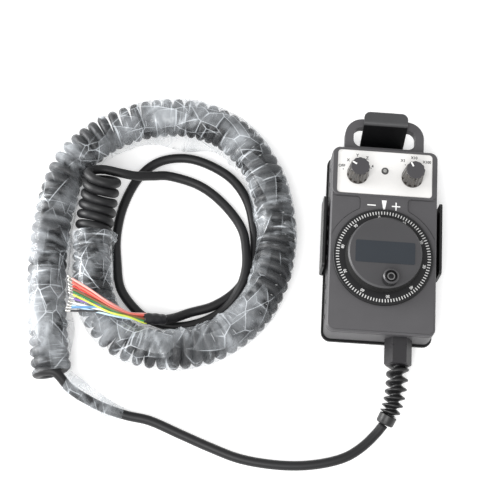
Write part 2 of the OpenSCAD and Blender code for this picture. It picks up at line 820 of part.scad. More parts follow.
// A fluted knob that leans in towards its top, with a slot for the pointer inlay
module knob(angle) {
    lean = atan((knob_d - knob_top_d) / 2 / knob_h);
    difference() {
        union() {
            translate([0, 0, knob_z]) cylinder(h = knob_foot, d = knob_d);
            translate([0, 0, knob_z + knob_foot])
                cylinder(h = knob_h - knob_foot - knob_edge, d1 = knob_d, d2 = knob_top_d);
            translate([0, 0, knob_top_z - knob_edge])
                cylinder(h = knob_edge, d1 = knob_top_d, d2 = knob_top_d - 1.5 * knob_edge);
        }
        for (i = [0 : knob_flutes - 1]) rotate(angle + (i + 0.5) * 360 / knob_flutes)
            translate([knob_d / 2 + flute_r * flute_out, 0, knob_z + knob_foot])
                rotate([0, -lean, 0]) cylinder(h = knob_h, r = flute_r, $fn = 24);
        translate([0, 0, knob_z - eps]) cylinder(h = knob_recess_h, d = knob_recess_d);
        translate([0, 0, knob_z]) difference() {
            cylinder(h = knob_h - knob_roof + fit_gap, r = switch_shaft_d / 2 + fit_gap);
            translate([switch_shaft_d / 2 - shaft_flat + fit_gap, -switch_shaft_d, flat_z - knob_z])
                cube([switch_shaft_d, 2 * switch_shaft_d, knob_h]);
        }
        rotate(angle)
            translate([knob_top_d / 2 - pointer_l, -pointer_w / 2 - fit_gap, knob_top_z - pointer_t])
                cube([knob_d, pointer_w + 2 * fit_gap, 2 * pointer_t]);
    }
}
module pointer(angle) {
    rotate(angle)
        translate([knob_top_d / 2 - pointer_l + fit_gap, -pointer_w / 2, knob_top_z - pointer_t])
            cube([pointer_l - pointer_end, pointer_w, pointer_t]);
}
module axis_knob() {
    color("#3f3d40") translate([-knob_spread / 2, knob_y, 0]) knob(axis_angle);
}
module multiplier_knob() {
    color("#3f3d40") translate([knob_spread / 2, knob_y, 0]) knob(multiplier_angle);
}
module axis_knob_pointer() {
    color("#f2f2f0") translate([-knob_spread / 2, knob_y, 0]) pointer(axis_angle);
}
module multiplier_knob_pointer() {
    color("#f2f2f0") translate([knob_spread / 2, knob_y, 0]) pointer(multiplier_angle);
}

// ---------- circuit board ----------

module circuit_board() {
    color("#1f6b3c") difference() {
        translate([0, board_y, board_z]) slab(board_w, board_l, board_t, 1);
        for (p = board_places) translate([p[0], p[1], board_z - 1])
            cylinder(h = 4, r = screw_d / 2 + hole_gap);
    }
}
module board_screws() {
    l = board_z - floor_z + board_t - 0.2;
    color("#b9bab8") for (p = board_places)
        translate([p[0], p[1], board_z + board_t + board_head_t]) mirror([0, 0, 1])
            socket_screw(board_screw_d, l + board_head_t, board_head_d, board_head_t);
}
module terminal_blocks() {
    w = terminal_pitch * terminal_count;
    screw_hole = 0.63 * terminal_pitch;
    wire_hole = 0.53 * terminal_pitch;
    color("#2f7d4a") for (s = [-1, 1])
        translate([s * (w / 2 + 1) - w / 2, board_y - board_l / 2 + 0.5, board_z + board_t]) difference() {
            cube([w, terminal_l, terminal_h]);
            for (i = [0 : terminal_count - 1])
                translate([(i + 0.5) * terminal_pitch, terminal_l / 2, 0.3 * terminal_h]) {
                    cylinder(h = terminal_h, d = screw_hole);
                    translate([0, 0, 0.12 * terminal_h])
                        rotate([90, 0, 0]) cylinder(h = terminal_l, d = wire_hole);
                }
        }
}

// ---------- pulse encoder ----------

module encoder_can() {
    color("#8a8c90") translate([0, dial_y, 0]) difference() {
        union() {
            translate([0, 0, can_z]) cylinder(h = can_h, d = can_d);
            translate([0, 0, roof_z - root]) cylinder(h = collar_h + root, d = collar_d);
        }
        translate([0, 0, can_z - 1]) cylinder(h = can_h - can_roof + 1, r = can_in_r);
        translate([0, 0, can_z]) cylinder(h = can_h + 2 * collar_h, r = shaft_d / 2 + 1);
        translate([0, 0, upper_bearing_z - fit_gap])
            cylinder(h = bearing_w + 2, r = bearing_d / 2 + fit_gap);
        // Screw holes in the can's roof
        translate([0, -dial_y, 0]) encoder_screw_places()
            translate([0, 0, roof_z - 2 * can_roof])
                cylinder(h = 2 * can_roof + 1, r = screw_d / 2 + fit_gap);
        // Bore of the detent plunger
        translate([0, 0, detent_z + detent_t / 2]) rotate([0, 90, 0])
            cylinder(h = can_d, r = ball_d / 2 + fit_gap);
    }
}
module encoder_screws() {
    color("#b9bab8") encoder_screw_places()
        translate([0, 0, face_z - 0.2]) mirror([0, 0, 1])
            socket_screw(screw_d, wall + can_roof - 0.2, screw_d * 2, encoder_head_t);
}
module encoder_end_plate() {
    color("#77797d") translate([0, dial_y, can_z]) difference() {
        cylinder(h = end_plate_t, d = end_plate_d);
        translate([0, 0, -1]) cylinder(h = end_plate_t + 2, r = shaft_d / 2 + 1);
        translate([0, 0, end_plate_floor]) cylinder(h = end_plate_t, r = bearing_d / 2 + fit_gap);
    }
}
module encoder_bearings() {
    shield_in = 0.4;
    color("#c9cacc") translate([0, dial_y, 0])
        for (z = [can_z + end_plate_floor, upper_bearing_z]) translate([0, 0, z]) difference() {
            cylinder(h = bearing_w, d = bearing_d);
            translate([0, 0, -1]) cylinder(h = bearing_w + 2, r = shaft_d / 2 + run_gap);
            for (e = [-eps, bearing_w - shield_in]) translate([0, 0, e]) difference() {
                cylinder(h = shield_in + eps, d = bearing_d - 3);
                cylinder(h = shield_in + eps, d = shaft_d + 3);
            }
        }
}
module sensor_board() {
    // A small board on the end plate whose fork reads the disc's edge
    low = can_z + end_plate_t;
    inner = disc_d / 2 - 6;
    outer = sqrt(pow(can_in_r - sensor_gap, 2) - pow(sensor_w / 2, 2));
    h = disc_z - low + disc_t + disc_rise - fork_gap;
    color("#2b6e9b") translate([0, dial_y, 0]) rotate(90) difference() {
        translate([inner, -sensor_w / 2, low]) cube([outer - inner, sensor_w, h]);
        translate([0, 0, disc_z - fork_gap]) cylinder(h = disc_t + 2 * fork_gap, r = disc_d / 2 + 1);
    }
}
module coded_disc() {
    color("#d9dadb") translate([0, dial_y, disc_z]) difference() {
        cylinder(h = disc_t, d = disc_d);
        translate([0, 0, -1]) cylinder(h = disc_t + 2, r = shaft_d / 2 + fit_gap);
    }
}
module detent_wheel() {
    n = clicks;
    r = detent_d / 2;
    color("#d8d6cf") translate([0, dial_y, detent_z]) difference() {
        union() {
            linear_extrude(detent_t) polygon([
                for (i = [0 : 2 * n - 1]) let (q = r - (i % 2) * notch_h, a = i * 180 / n)
                    [q * cos(a), q * sin(a)]
            ]);
            translate([0, 0, disc_z + disc_t - detent_z])
                cylinder(h = detent_z - disc_z - disc_t + 1, d = shaft_d + 6);
        }
        translate([0, 0, -6]) cylinder(h = detent_t + 12, r = shaft_d / 2 + fit_gap);
    }
}
module detent_ball() {
    color("#c9cacc") translate([ball_x, dial_y, detent_z + detent_t / 2]) sphere(d = ball_d);
}
module detent_spring() {
    // The plunger's coil spring, drawn as a tube between the ball and its plug
    from = ball_x + ball_d / 2;
    plug_t = 1.2;
    l = can_d / 2 - from - plug_t - body_gap;
    color("#a9abad") translate([from, dial_y, detent_z + detent_t / 2]) rotate([0, 90, 0]) {
        difference() {
            cylinder(h = l, d = ball_d - 0.4);
            translate([0, 0, -1]) cylinder(h = can_d, d = ball_d - 1.4);
        }
        translate([0, 0, l]) cylinder(h = plug_t, d = ball_d);
    }
}

// ---------- handwheel ----------

module wheel_shaft() {
    color("#c4c5c7") translate([0, dial_y, shaft_low_z]) {
        cylinder(h = hub_top_z - hub_wall - shaft_low_z, d = shaft_d);
        // Shoulder that carries the dial on the upper bearing
        translate([0, 0, roof_z + collar_h + 0.1 - shaft_low_z])
            cylinder(h = dial_z - roof_z - collar_h - 0.1 + eps, d = shaft_d + 3);
    }
}
module dial_ring() {
    rim_step = 0.4;
    color("#2a292c") translate([0, dial_y, dial_z]) difference() {
        union() {
            cylinder(h = dial_t - rim_step, d = dial_d, $fn = 128);
            translate([0, 0, dial_t - rim_step])
                cylinder(h = rim_step, d1 = dial_d, d2 = dial_d - 2 * rim_step, $fn = 128);
        }
        translate([0, 0, -1]) cylinder(h = dial_t + 2, r = shaft_d / 2 + fit_gap);
        translate([0, 0, -eps]) cylinder(h = dial_t - dial_web + eps, d = ring_hole_d);
        hub_screw_places() translate([0, 0, -1])
            cylinder(h = dial_t + 2, r = screw_d / 2 + hole_gap);
    }
}
module hub_screw_places() {
    for (a = [90, 210, 330]) rotate(a) translate([hub_screw_r, 0, 0]) children();
}
module hub_screws() {
    color("#8d8f94") translate([0, dial_y, hub_z - dial_web - hub_head_t]) hub_screw_places()
        socket_screw(screw_d, dial_web + hub_head_t + hub_screw_bite, hub_head_d, hub_head_t);
}
module wheel_hub() {
    edge = 1.2;
    lean = 0.3;
    color("#57575c") translate([0, dial_y, hub_z]) difference() {
        union() {
            cylinder(h = hub_h - edge, d1 = hub_d, d2 = hub_top_d + lean, $fn = 128);
            translate([0, 0, hub_h - edge])
                cylinder(h = edge, d1 = hub_top_d + lean, d2 = hub_top_d - 2 * edge, $fn = 128);
        }
        difference() {
            translate([0, 0, -eps])
                cylinder(h = hub_h - hub_wall, d = hub_top_d - 2 * hub_wall, $fn = 96);
            translate([0, 0, -1]) cylinder(h = hub_h, d = shaft_d + 6);
            hub_screw_places() translate([0, 0, -1]) cylinder(h = hub_h, d = hub_boss_d);
            translate([spinner_x, spinner_y - dial_y, -1]) cylinder(h = hub_h, d = 2 * spinner_pin_d);
        }
        translate([0, 0, -1]) cylinder(h = hub_h - hub_wall + 1, r = shaft_d / 2 + fit_gap);
        hub_screw_places() translate([0, 0, -1])
            cylinder(h = hub_screw_bite + 2, r = screw_d / 2 + fit_gap);
        translate([spinner_x, spinner_y - dial_y, spinner_thread_low - 1])
            cylinder(h = hub_h, r = spinner_thread_d / 2 + fit_gap);
    }
}
// Shoulder screw: thread in the hub, shoulder in the knob, head in the knob's recess
module spinner_screw() {
    shoulder_top = spinner_z + spinner_h - spinner_recess + 0.2;
    color("#9a9b9d") translate([spinner_x, spinner_y, 0]) difference() {
        union() {
            translate([0, 0, hub_z + spinner_thread_low])
                cylinder(h = hub_h - spinner_thread_low + root, d = spinner_thread_d);
            translate([0, 0, hub_top_z]) cylinder(h = shoulder_top - hub_top_z, d = spinner_pin_d);
            translate([0, 0, shoulder_top]) cylinder(h = spinner_head_h, d = spinner_head_d);
        }
        translate([0, 0, shoulder_top + spinner_head_h / 2]) hexagon(0.6 * spinner_pin_d, spinner_head_h);
    }
}
module spinner_knob() {
    edge = 0.8;
    color("#5a595d") translate([spinner_x, spinner_y, spinner_z]) difference() {
        union() {
            cylinder(h = edge, d1 = spinner_d - 2 * edge, d2 = spinner_d);
            translate([0, 0, edge]) cylinder(h = spinner_h - 2 * edge, d = spinner_d);
            translate([0, 0, spinner_h - edge])
                cylinder(h = edge, d1 = spinner_d, d2 = spinner_d - 2 * edge);
        }
        translate([0, 0, -1]) cylinder(h = spinner_h, r = spinner_pin_d / 2 + run_gap);
        translate([0, 0, spinner_h - spinner_recess])
            cylinder(h = spinner_recess + 1, d = spinner_recess_d);
    }
}

// ---------- cable gland and cable ----------

module along_gland(y) {
    translate([gland_x, y, gland_z]) rotate([90, 0, 0]) children();
}
module gland_body() {
    color("#38373b") difference() {
        union() {
            along_gland(end_y) hexagon(gland_af, gland_flange_t);
            along_gland(end_y + gland_in) cylinder(h = gland_in + 1, d = gland_thread);
            along_gland(end_y - gland_flange_t + 1) cylinder(h = gland_thread_l + 1, d = gland_thread);
        }
        along_gland(end_y + gland_in + 1)
            cylinder(h = gland_in + gland_flange_t + gland_nut_l, d = gland_bore_d);
        along_gland(end_y - gland_flange_t - 1)
            cylinder(h = gland_nut_l, d = gland_bore_d + 2 * seal_wall);
    }
}
module gland_locknut() {
    color("#38373b") difference() {
        along_gland(end_y + wall + gland_nut_t) hexagon(locknut_af, gland_nut_t);
        along_gland(end_y + 2 * gland_in)
            cylinder(h = 2 * gland_in, r = gland_thread / 2 + fit_gap);
    }
}
module gland_seal() {
    color("#222224") difference() {
        along_gland(end_y - gland_flange_t - 1)
            cylinder(h = seal_l, r = gland_bore_d / 2 + seal_wall - fit_gap);
        along_gland(end_y) cylinder(h = gland_flange_t + gland_nut_l, r = cable_r + fit_gap);
    }
}
module gland_nut() {
    blank_r = gland_af * 0.65;
    top_r = gland_af / 2 + 0.6;
    tip_r = gland_af / 2 - 0.7;
    slope = 0.6;
    color("#3b3a3e") difference() {
        // A hexagon whose corners are turned off at both ends
        along_gland(end_y - gland_flange_t) intersection() {
            hexagon(gland_af, gland_nut_l);
            rotate_extrude() polygon([
                [0, 0], [top_r, 0], [blank_r, (blank_r - top_r) * slope],
                [blank_r, gland_nut_l - (blank_r - tip_r) * slope], [tip_r, gland_nut_l], [0, gland_nut_l]
            ]);
        }
        along_gland(end_y - gland_flange_t + 1)
            cylinder(h = gland_thread_l + 2, r = gland_thread / 2 + fit_gap);
        along_gland(end_y) cylinder(h = 2 * gland_nut_l, r = cable_r + fit_gap);
    }
}
// The relief's helical ridge is one smooth sweep: the ridge stands where the turn passes
function relief_at(t) =
    relief_a * (1 - t) * (1 - t) + relief_b * 2 * t * (1 - t) + relief_c * t * t;
function ridge_at(turn, t) = let (
        f = abs(turn - floor(turn) - 0.5) * relief_pitch,
        height = relief_ridge[0] * (1 - t) + relief_ridge[1] * t
    ) relief_core + height * max(0, min(1, relief_tip * (1 - f / relief_ridge_w)));
module spiral_relief() {
    sides = 24;
    steps = 52;
    foot = relief_at(1);
    along = unit(relief_at(1) - relief_at(0.98));
    line = concat(
        [for (i = [0 : steps]) relief_at(i / steps)],
        [for (d = [0.4, 0.8, collar_l, collar_l + 0.6]) foot + along * d]
    );
    radii = concat(
        [for (i = [0 : steps]) [for (k = [0 : sides - 1])
            ridge_at(relief_start + relief_turns * i / steps + k / sides, i / steps)]],
        [for (r = [relief_core, collar_r, collar_r, collar_r - 0.6]) [for (k = [1 : sides]) r]]
    );
    color("#2b2b2e") swept(line, sides, radii);
}
module cable_lead() {
    color("#29292c") tube(lead_route, cable_r, 8);
}
module curly_cord() {
    color("#343438") tube(coil_route, coil_r, 12);
}
// The clear bag drawn over the coil, left open at both ends
module packing_film() {
    last = len(film_route) - 1;
    before = film_route[0] - heading(film_route, 0);
    after = film_route[last] + heading(film_route, last);
    color("#d5d8db") difference() {
        tube(film_route, coil_r + film_gap + film_t, 12);
        tube(concat([before], film_route, [after]), coil_r + film_gap, 12);
    }
}
module cable_tail() {
    color("#29292c") tube(tail_route, cable_r, 8);
}
module end_sleeve() {
    color("#1f1f21") round_bar(sleeve_route[0], sleeve_route[1], sleeve_d / 2);
}
// Bare ends of the conductors: they leave the sleeve in a bundle and fan out
module conductors() {
    shades = ["#c8554a", "#d98a80", "#4a8a4f", "#b7b04a", "#e8e8e6", "#6f5aa0", "#4a6ea8", "#222224"];
    for (i = [0 : wire_count - 1]) {
        f = i / (wire_count - 1) - 0.5;
        row = i % 3 - 1;
        color(shades[i % len(shades)]) tube([
            wire_start + [-2.2, f * 7, row * 1.9],
            wire_start + [-11, f * 9 + 1.2, 6.6 + row * 1.8],
            wire_start + [-24, f * 16 + 3.5, 10.2 + row * 1.8],
            wire_start + [-40, f * 24 + 8, 10 + row * 1.8],
            wire_start + [-56, f * 32 + 11, 9 + row * 1.8]
        ], wire_d / 2, 6);
    }
}

hanger_bracket();
front_cover();
back_shell();
housing_gasket();
cover_screws();
control_panel();
lamp_bezel();
lamp_lens();
axis_switch();
axis_switch_nut();
multiplier_switch();
multiplier_switch_nut();
circuit_board();
board_screws();
terminal_blocks();
encoder_can();
encoder_screws();
encoder_end_plate();
encoder_bearings();
sensor_board();
detent_ball();
detent_spring();
wheel_shaft();
coded_disc();
detent_wheel();
dial_ring();
wheel_hub();
hub_screws();
spinner_screw();
spinner_knob();
axis_knob();
axis_knob_pointer();
axis_switch_shaft();
multiplier_knob();
multiplier_knob_pointer();
multiplier_switch_shaft();
gland_body();
gland_locknut();
gland_seal();
gland_nut();
spiral_relief();
cable_lead();
curly_cord();
cable_tail();
end_sleeve();
conductors();
packing_film();
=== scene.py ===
import math

import bmesh
import bpy
import numpy as np
from mathutils import Matrix, Vector


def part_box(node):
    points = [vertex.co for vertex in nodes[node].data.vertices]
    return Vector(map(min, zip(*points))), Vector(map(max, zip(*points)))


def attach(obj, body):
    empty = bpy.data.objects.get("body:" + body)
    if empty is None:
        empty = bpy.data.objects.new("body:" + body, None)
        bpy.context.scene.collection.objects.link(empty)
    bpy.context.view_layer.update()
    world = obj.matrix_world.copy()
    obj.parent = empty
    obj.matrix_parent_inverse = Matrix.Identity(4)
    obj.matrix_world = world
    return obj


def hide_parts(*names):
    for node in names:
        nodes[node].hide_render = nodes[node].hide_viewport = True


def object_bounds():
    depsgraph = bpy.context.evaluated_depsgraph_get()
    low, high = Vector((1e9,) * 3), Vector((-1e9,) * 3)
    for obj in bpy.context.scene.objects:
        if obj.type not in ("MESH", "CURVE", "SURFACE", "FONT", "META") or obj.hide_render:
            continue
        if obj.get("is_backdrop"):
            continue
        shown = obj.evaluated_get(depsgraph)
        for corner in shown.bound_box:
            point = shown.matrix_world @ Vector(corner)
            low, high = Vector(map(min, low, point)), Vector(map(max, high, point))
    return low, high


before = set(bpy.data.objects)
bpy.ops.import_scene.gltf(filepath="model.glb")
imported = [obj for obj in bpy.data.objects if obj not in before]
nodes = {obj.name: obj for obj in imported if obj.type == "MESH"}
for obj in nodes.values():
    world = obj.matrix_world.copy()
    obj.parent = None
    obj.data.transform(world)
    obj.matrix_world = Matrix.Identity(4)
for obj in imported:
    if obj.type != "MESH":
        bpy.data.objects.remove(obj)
packed_size = [list(corner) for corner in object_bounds()]

# ---------- Camera ----------
# The camera stands above the lower edge of the lying pendant and is turned a little to the left,
# so that the whole cable is in view. A long lens keeps the housing's sides nearly upright.
camera_aim = Vector((-0.1046, -0.0062, 0))
camera_turn = math.radians(-6.63)
camera_rise = math.radians(71.17)
camera_roll = math.radians(10.15)
camera_back = Vector((
    math.cos(camera_rise) * math.sin(camera_turn),
    -math.cos(camera_rise) * math.cos(camera_turn),
    math.sin(camera_rise),
))
level_right = (-camera_back).cross(Vector((0, 0, 1))).normalized()
level_up = level_right.cross(-camera_back)
camera_right = math.cos(camera_roll) * level_right + math.sin(camera_roll) * level_up
camera_up = -math.sin(camera_roll) * level_right + math.cos(camera_roll) * level_up
camera = bpy.data.objects.new("camera", bpy.data.cameras.new("camera"))
camera_away = 1.2367
camera.data.lens = 109.6
camera.data.sensor_width = 36
camera.data.clip_end = 20
camera.matrix_world = Matrix.Translation(camera_aim + camera_away * camera_back) @ Matrix(
    (camera_right, camera_up, camera_back)
).transposed().to_4x4()
bpy.context.scene.collection.objects.link(camera)
bpy.context.scene.camera = camera

# ---------- Cable ----------
# A black polyurethane cable of 7.5 mm leaves the strain relief, lies on the floor, runs through about
# ninety close turns and ends in a straight tail. It is one length, wound on a mandrel and heat-set.
cable_d = 0.0075
cable_sides = 14
coil_d = 0.031
coil_pitch = 0.0084
lead_route = [
    (7, -144.8, 6.9), (1, -152.6, 4.9), (-9, -163, 3.8), (-22, -172, 3.8), (-40, -178, 3.8),
    (-60, -181, 3.8), (-82, -181, 3.8), (-105, -178, 3.8), (-127, -171, 3.8), (-151, -162, 3.8),
    (-175, -153, 3.8), (-193, -150, 3.8), (-210, -146, 6), (-225, -141, 12), (-238, -135, 20),
]
coil_route = [
    (-253, -124, 16.6), (-257, -105, 16.6), (-260, -85, 16.6), (-263, -64, 16.6), (-265, -36, 16.6),
    (-265, -10, 16.6), (-262, 20, 16.6), (-255, 48, 16.6), (-242, 66, 16.6), (-223, 82, 16.6),
    (-193, 95, 16.6), (-160, 98, 16.6), (-128, 88, 16.6), (-102, 62, 16.6), (-88, 28, 16.6),
    (-84, -6, 16.6), (-89, -39, 16.6), (-104, -68, 16.6), (-129, -89, 16.6), (-156, -98, 16.6),
    (-183, -98, 16.6), (-204, -90, 16.6), (-219, -74, 16.6), (-227, -54, 16.6), (-230, -31, 16.6),
    (-231, -8, 17.6), (-229.5, 12, 21), (-227.5, 27, 28.5), (-226, 38, 36),
]
tail_route = [
    (-212, 43, 25), (-200, 43.5, 20), (-187, 47, 13.5), (-173, 50, 7.5), (-149, 45, 3.9), (-129, 31, 3.8),
    (-113, 11, 4.5), (-108, -10, 8.5), (-108, -31, 11.8), (-115, -50, 8.5), (-127, -63, 4.2),
    (-143, -72, 3.8), (-161, -76, 3.8), (-177, -73, 3.8), (-191, -66, 3.8), (-206, -48, 3.8),
    (-211, -25, 3.8), (-213, -3, 3.8), (-210, 21, 3.8), (-202, 43, 3.8), (-191, 58, 3.8),
    (-177, 66, 3.8), (-158, 68, 3.8), (-138, 62, 3.8), (-121, 51, 3.8), (-109, 34, 3.8),
    (-103, 13, 3.8), (-101, -8, 3.8), (-105, -28, 3.8), (-116, -45, 3.8), (-132, -57, 3.8),
    (-150, -64, 5), (-161, -70, 9.5), (-171, -75, 17.5),
]


def smooth_line(points, step, before=None, after=None):
    """Evenly spaced points on a smooth line through the given ones; before and after steer its ends."""
    p = np.array(points, float)
    first = 2 * p[0] - p[1] if before is None else before
    last = 2 * p[-1] - p[-2] if after is None else after
    p = np.vstack([first, p, last])
    t = np.linspace(0, 1, 24, endpoint=False)[:, None]
    fine = []
    for a, b, c, d in zip(p, p[1:], p[2:], p[3:]):
        fine.append(
            0.5 * (2 * b + (c - a) * t + (2 * a - 5 * b + 4 * c - d) * t**2 + (3 * b - a - 3 * c + d) * t**3)
        )
    fine = np.vstack([*fine, p[-2:-1]])
    run = np.concatenate([[0], np.cumsum(np.linalg.norm(np.diff(fine, axis=0), axis=1))])
    at = np.linspace(0, run[-1], max(2, round(run[-1] / step) + 1))
    return np.stack([np.interp(at, run, fine[:, k]) for k in range(3)], 1)


def along_line(points):
    """Unit headings, and the side and up directions that go with them on the floor."""
    heading = np.gradient(points, axis=0)
    heading /= np.linalg.norm(heading, axis=1)[:, None]
    side = np.cross(heading, (0, 0, 1))
    side /= np.linalg.norm(side, axis=1)[:, None]
    return heading, side, np.cross(side, heading)


def add_piece(name, mesh):
    """A new object with this mesh or curve, linked to the scene."""
    piece = bpy.data.objects.new(name, mesh)
    bpy.context.scene.collection.objects.link(piece)
    return piece


def tube_mesh(name, path, radii, sides):
    """A closed round tube along path, with one radius for each of its points."""
    path = np.array(path, float)
    heading = np.gradient(path, axis=0)
    heading /= np.linalg.norm(heading, axis=1)[:, None]
    side = np.cross(heading[0], (0.3, 0.2, 1))
    turn = np.linspace(0, 2 * math.pi, sides, endpoint=False)
    rings = []
    for point, ahead, radius in zip(path, heading, radii):
        side = side - ahead * side.dot(ahead)
        side /= np.linalg.norm(side)
        up = np.cross(side, ahead)
        rings.append(point + radius * (np.cos(turn)[:, None] * side + np.sin(turn)[:, None] * up))
    count = len(path)
    verts = np.vstack([*rings, path[:1], path[-1:]])
    faces = []
    for i in range(count - 1):
        for k in range(sides):
            a, b = i * sides + k, i * sides + (k + 1) % sides
            faces.append((a, a + sides, b + sides, b))
    for k in range(sides):
        faces.append((count * sides, k, (k + 1) % sides))
        last = (count - 1) * sides
        faces.append((count * sides + 1, last + (k + 1) % sides, last + k))
    mesh = bpy.data.meshes.new(name)
    mesh.from_pydata([tuple(v) for v in verts], [], faces)
    mesh.polygons.foreach_set("use_smooth", [True] * len(mesh.polygons))
    mesh.update()
    return add_piece(name, mesh)


coil_line = smooth_line(coil_route, 1.0)
coil_ahead, coil_side, coil_up = along_line(coil_line)
coil_run = np.concatenate([[0], np.cumsum(np.linalg.norm(np.diff(coil_line, axis=0), axis=1))])
# The cable comes in over the top of the first turn and leaves under the last one
turns = math.floor(coil_run[-1] / (coil_pitch * 1000)) + 0.5
per_turn = 20
angle = np.linspace(0, turns, round(turns * per_turn) + 1)
wander = 0.006 * np.sin(angle * 0.9) + 0.005 * np.sin(angle * 0.37 + 1)
at = np.clip(angle / turns + wander / 8 * np.sin(np.pi * angle / turns), 0, 1) * coil_run[-1]
centre, side, up = (
    np.stack([np.interp(at, coil_run, a[:, k]) for k in range(3)], 1)
    for a in (coil_line, coil_side, coil_up)
)
turn_r = (coil_d - cable_d) * 500 * (1 + 0.02 * np.sin(angle * 1.7) * np.sin(angle * 0.31))
phase = math.pi / 2 + 2 * math.pi * angle
coil_path = centre + turn_r[:, None] * (np.cos(phase)[:, None] * side + np.sin(phase)[:, None] * up)
straight_step = 2.5
lead_path = smooth_line(
    [*lead_route, coil_path[0]], straight_step,
    after=np.array(lead_route[-1]) - 30 * coil_side[0] + 4 * coil_ahead[0],
)
tail_path = smooth_line(
    [coil_path[-1], *tail_route], straight_step, before=np.array(tail_route[0]) - 30 * coil_side[-1]
)
cable_path = np.vstack([lead_path[:-1], coil_path, tail_path[1:]]) / 1000
cable = tube_mesh("cable", cable_path, np.full(len(cable_path), cable_d / 2), cable_sides)


def new_finish(name, color, roughness, **sockets):
    """A material with one Principled shader; sockets sets its other plain values by their names."""
    material = bpy.data.materials.new(name)
    material.use_nodes = True
    shader = material.node_tree.nodes["Principled BSDF"]
    shader.inputs["Base Color"].default_value = (*color, 1)
    shader.inputs["Roughness"].default_value = roughness
    for socket, value in sockets.items():
        shader.inputs[socket.replace("_", " ")].default_value = value
    return material


def math_node(tree, operation, *values, clamp=False):
    """A Math node in tree; each value is a number or another node's output. Returns its output."""
    node = tree.nodes.new("ShaderNodeMath")
    node.operation = operation
    node.use_clamp = clamp
    for socket, value in zip(node.inputs, values):
        if isinstance(value, (int, float)):
            socket.default_value = value
        else:
            tree.links.new(value, socket)
    return node.outputs[0]


def noise_node(tree, vector, scale, detail=2.0, stretch=None):
    """Noise over vector, with scale per metre; stretch lengthens its grain along an axis."""
    if stretch:
        mapping = tree.nodes.new("ShaderNodeMapping")
        mapping.inputs["Scale"].default_value = stretch
        tree.links.new(vector, mapping.inputs["Vector"])
        vector = mapping.outputs["Vector"]
    noise = tree.nodes.new("ShaderNodeTexNoise")
    noise.inputs["Detail"].default_value = detail
    tree.links.new(vector, noise.inputs["Vector"])
    if isinstance(scale, (int, float)):
        noise.inputs["Scale"].default_value = scale
    else:
        tree.links.new(scale, noise.inputs["Scale"])
    return noise.outputs["Fac"]


def bump_normal(material, height, strength, distance=0.0002):
    """Feeds height to the shader's Normal through a Bump node."""
    tree = material.node_tree
    relief = tree.nodes.new("ShaderNodeBump")
    relief.inputs["Strength"].default_value = strength
    relief.inputs["Distance"].default_value = distance
    tree.links.new(height, relief.inputs["Height"])
    tree.links.new(relief.outputs["Normal"], tree.nodes["Principled BSDF"].inputs["Normal"])


def grain_group():
    """Fine surface grain: a lightly mottled colour and roughness, and a height for the bump."""
    group = bpy.data.node_groups.new("surface_grain", "ShaderNodeTree")
    for name, kind, value in (
        ("Color", "NodeSocketColor", (0.1, 0.1, 0.1, 1)), ("Grain per Metre", "NodeSocketFloat", 3000),
        ("Mottle", "NodeSocketFloat", 0.15), ("Roughness", "NodeSocketFloat", 0.5),
        ("Roughness Spread", "NodeSocketFloat", 0.1),
    ):
        group.interface.new_socket(name, in_out="INPUT", socket_type=kind).default_value = value
    for name, kind in (
        ("Color", "NodeSocketColor"), ("Roughness", "NodeSocketFloat"), ("Height", "NodeSocketFloat")
    ):
        group.interface.new_socket(name, in_out="OUTPUT", socket_type=kind)
    given, result = group.nodes.new("NodeGroupInput"), group.nodes.new("NodeGroupOutput")
    place = group.nodes.new("ShaderNodeTexCoord").outputs["Object"]
    fine = noise_node(group, place, given.outputs["Grain per Metre"], 3)
    cloud = noise_node(group, place, 60, 4)
    centred = math_node(group, "SUBTRACT", math_node(group, "ADD", fine, cloud), 1)
    swing = math_node(group, "MULTIPLY_ADD", centred, given.outputs["Mottle"], 1)
    tint = group.nodes.new("ShaderNodeVectorMath")
    tint.operation = "SCALE"
    group.links.new(given.outputs["Color"], tint.inputs[0])
    group.links.new(swing, tint.inputs["Scale"])
    rough = math_node(
        group, "MULTIPLY_ADD", centred, given.outputs["Roughness Spread"], given.outputs["Roughness"]
    )
    group.links.new(tint.outputs["Vector"], result.inputs["Color"])
    group.links.new(rough, result.inputs["Roughness"])
    group.links.new(fine, result.inputs["Height"])
    return group


surface_grain = grain_group()


def grained(name, color, roughness, grain=3000, mottle=0.15, spread=0.1, bump=0.15, **sockets):
    """A finish whose colour, roughness and bump come from the surface grain."""
    material = new_finish(name, color, roughness, **sockets)
    tree = material.node_tree
    shader = tree.nodes["Principled BSDF"]
    grain_node = tree.nodes.new("ShaderNodeGroup")
    grain_node.name = "grain"
    grain_node.node_tree = surface_grain
    for socket, value in (("Color", (*color, 1)), ("Grain per Metre", grain), ("Mottle", mottle),
                          ("Roughness", roughness), ("Roughness Spread", spread)):
        grain_node.inputs[socket].default_value = value
    tree.links.new(grain_node.outputs["Color"], shader.inputs["Base Color"])
    tree.links.new(grain_node.outputs["Roughness"], shader.inputs["Roughness"])
    bump_normal(material, grain_node.outputs["Height"], bump)
    return material


cable_jacket = grained(
    "cable_jacket", (0.008, 0.008, 0.009), 0.5, grain=900, mottle=0.12, bump=0.12, Specular_IOR_Level=0.4
)
cable.data.materials.append(cable_jacket)

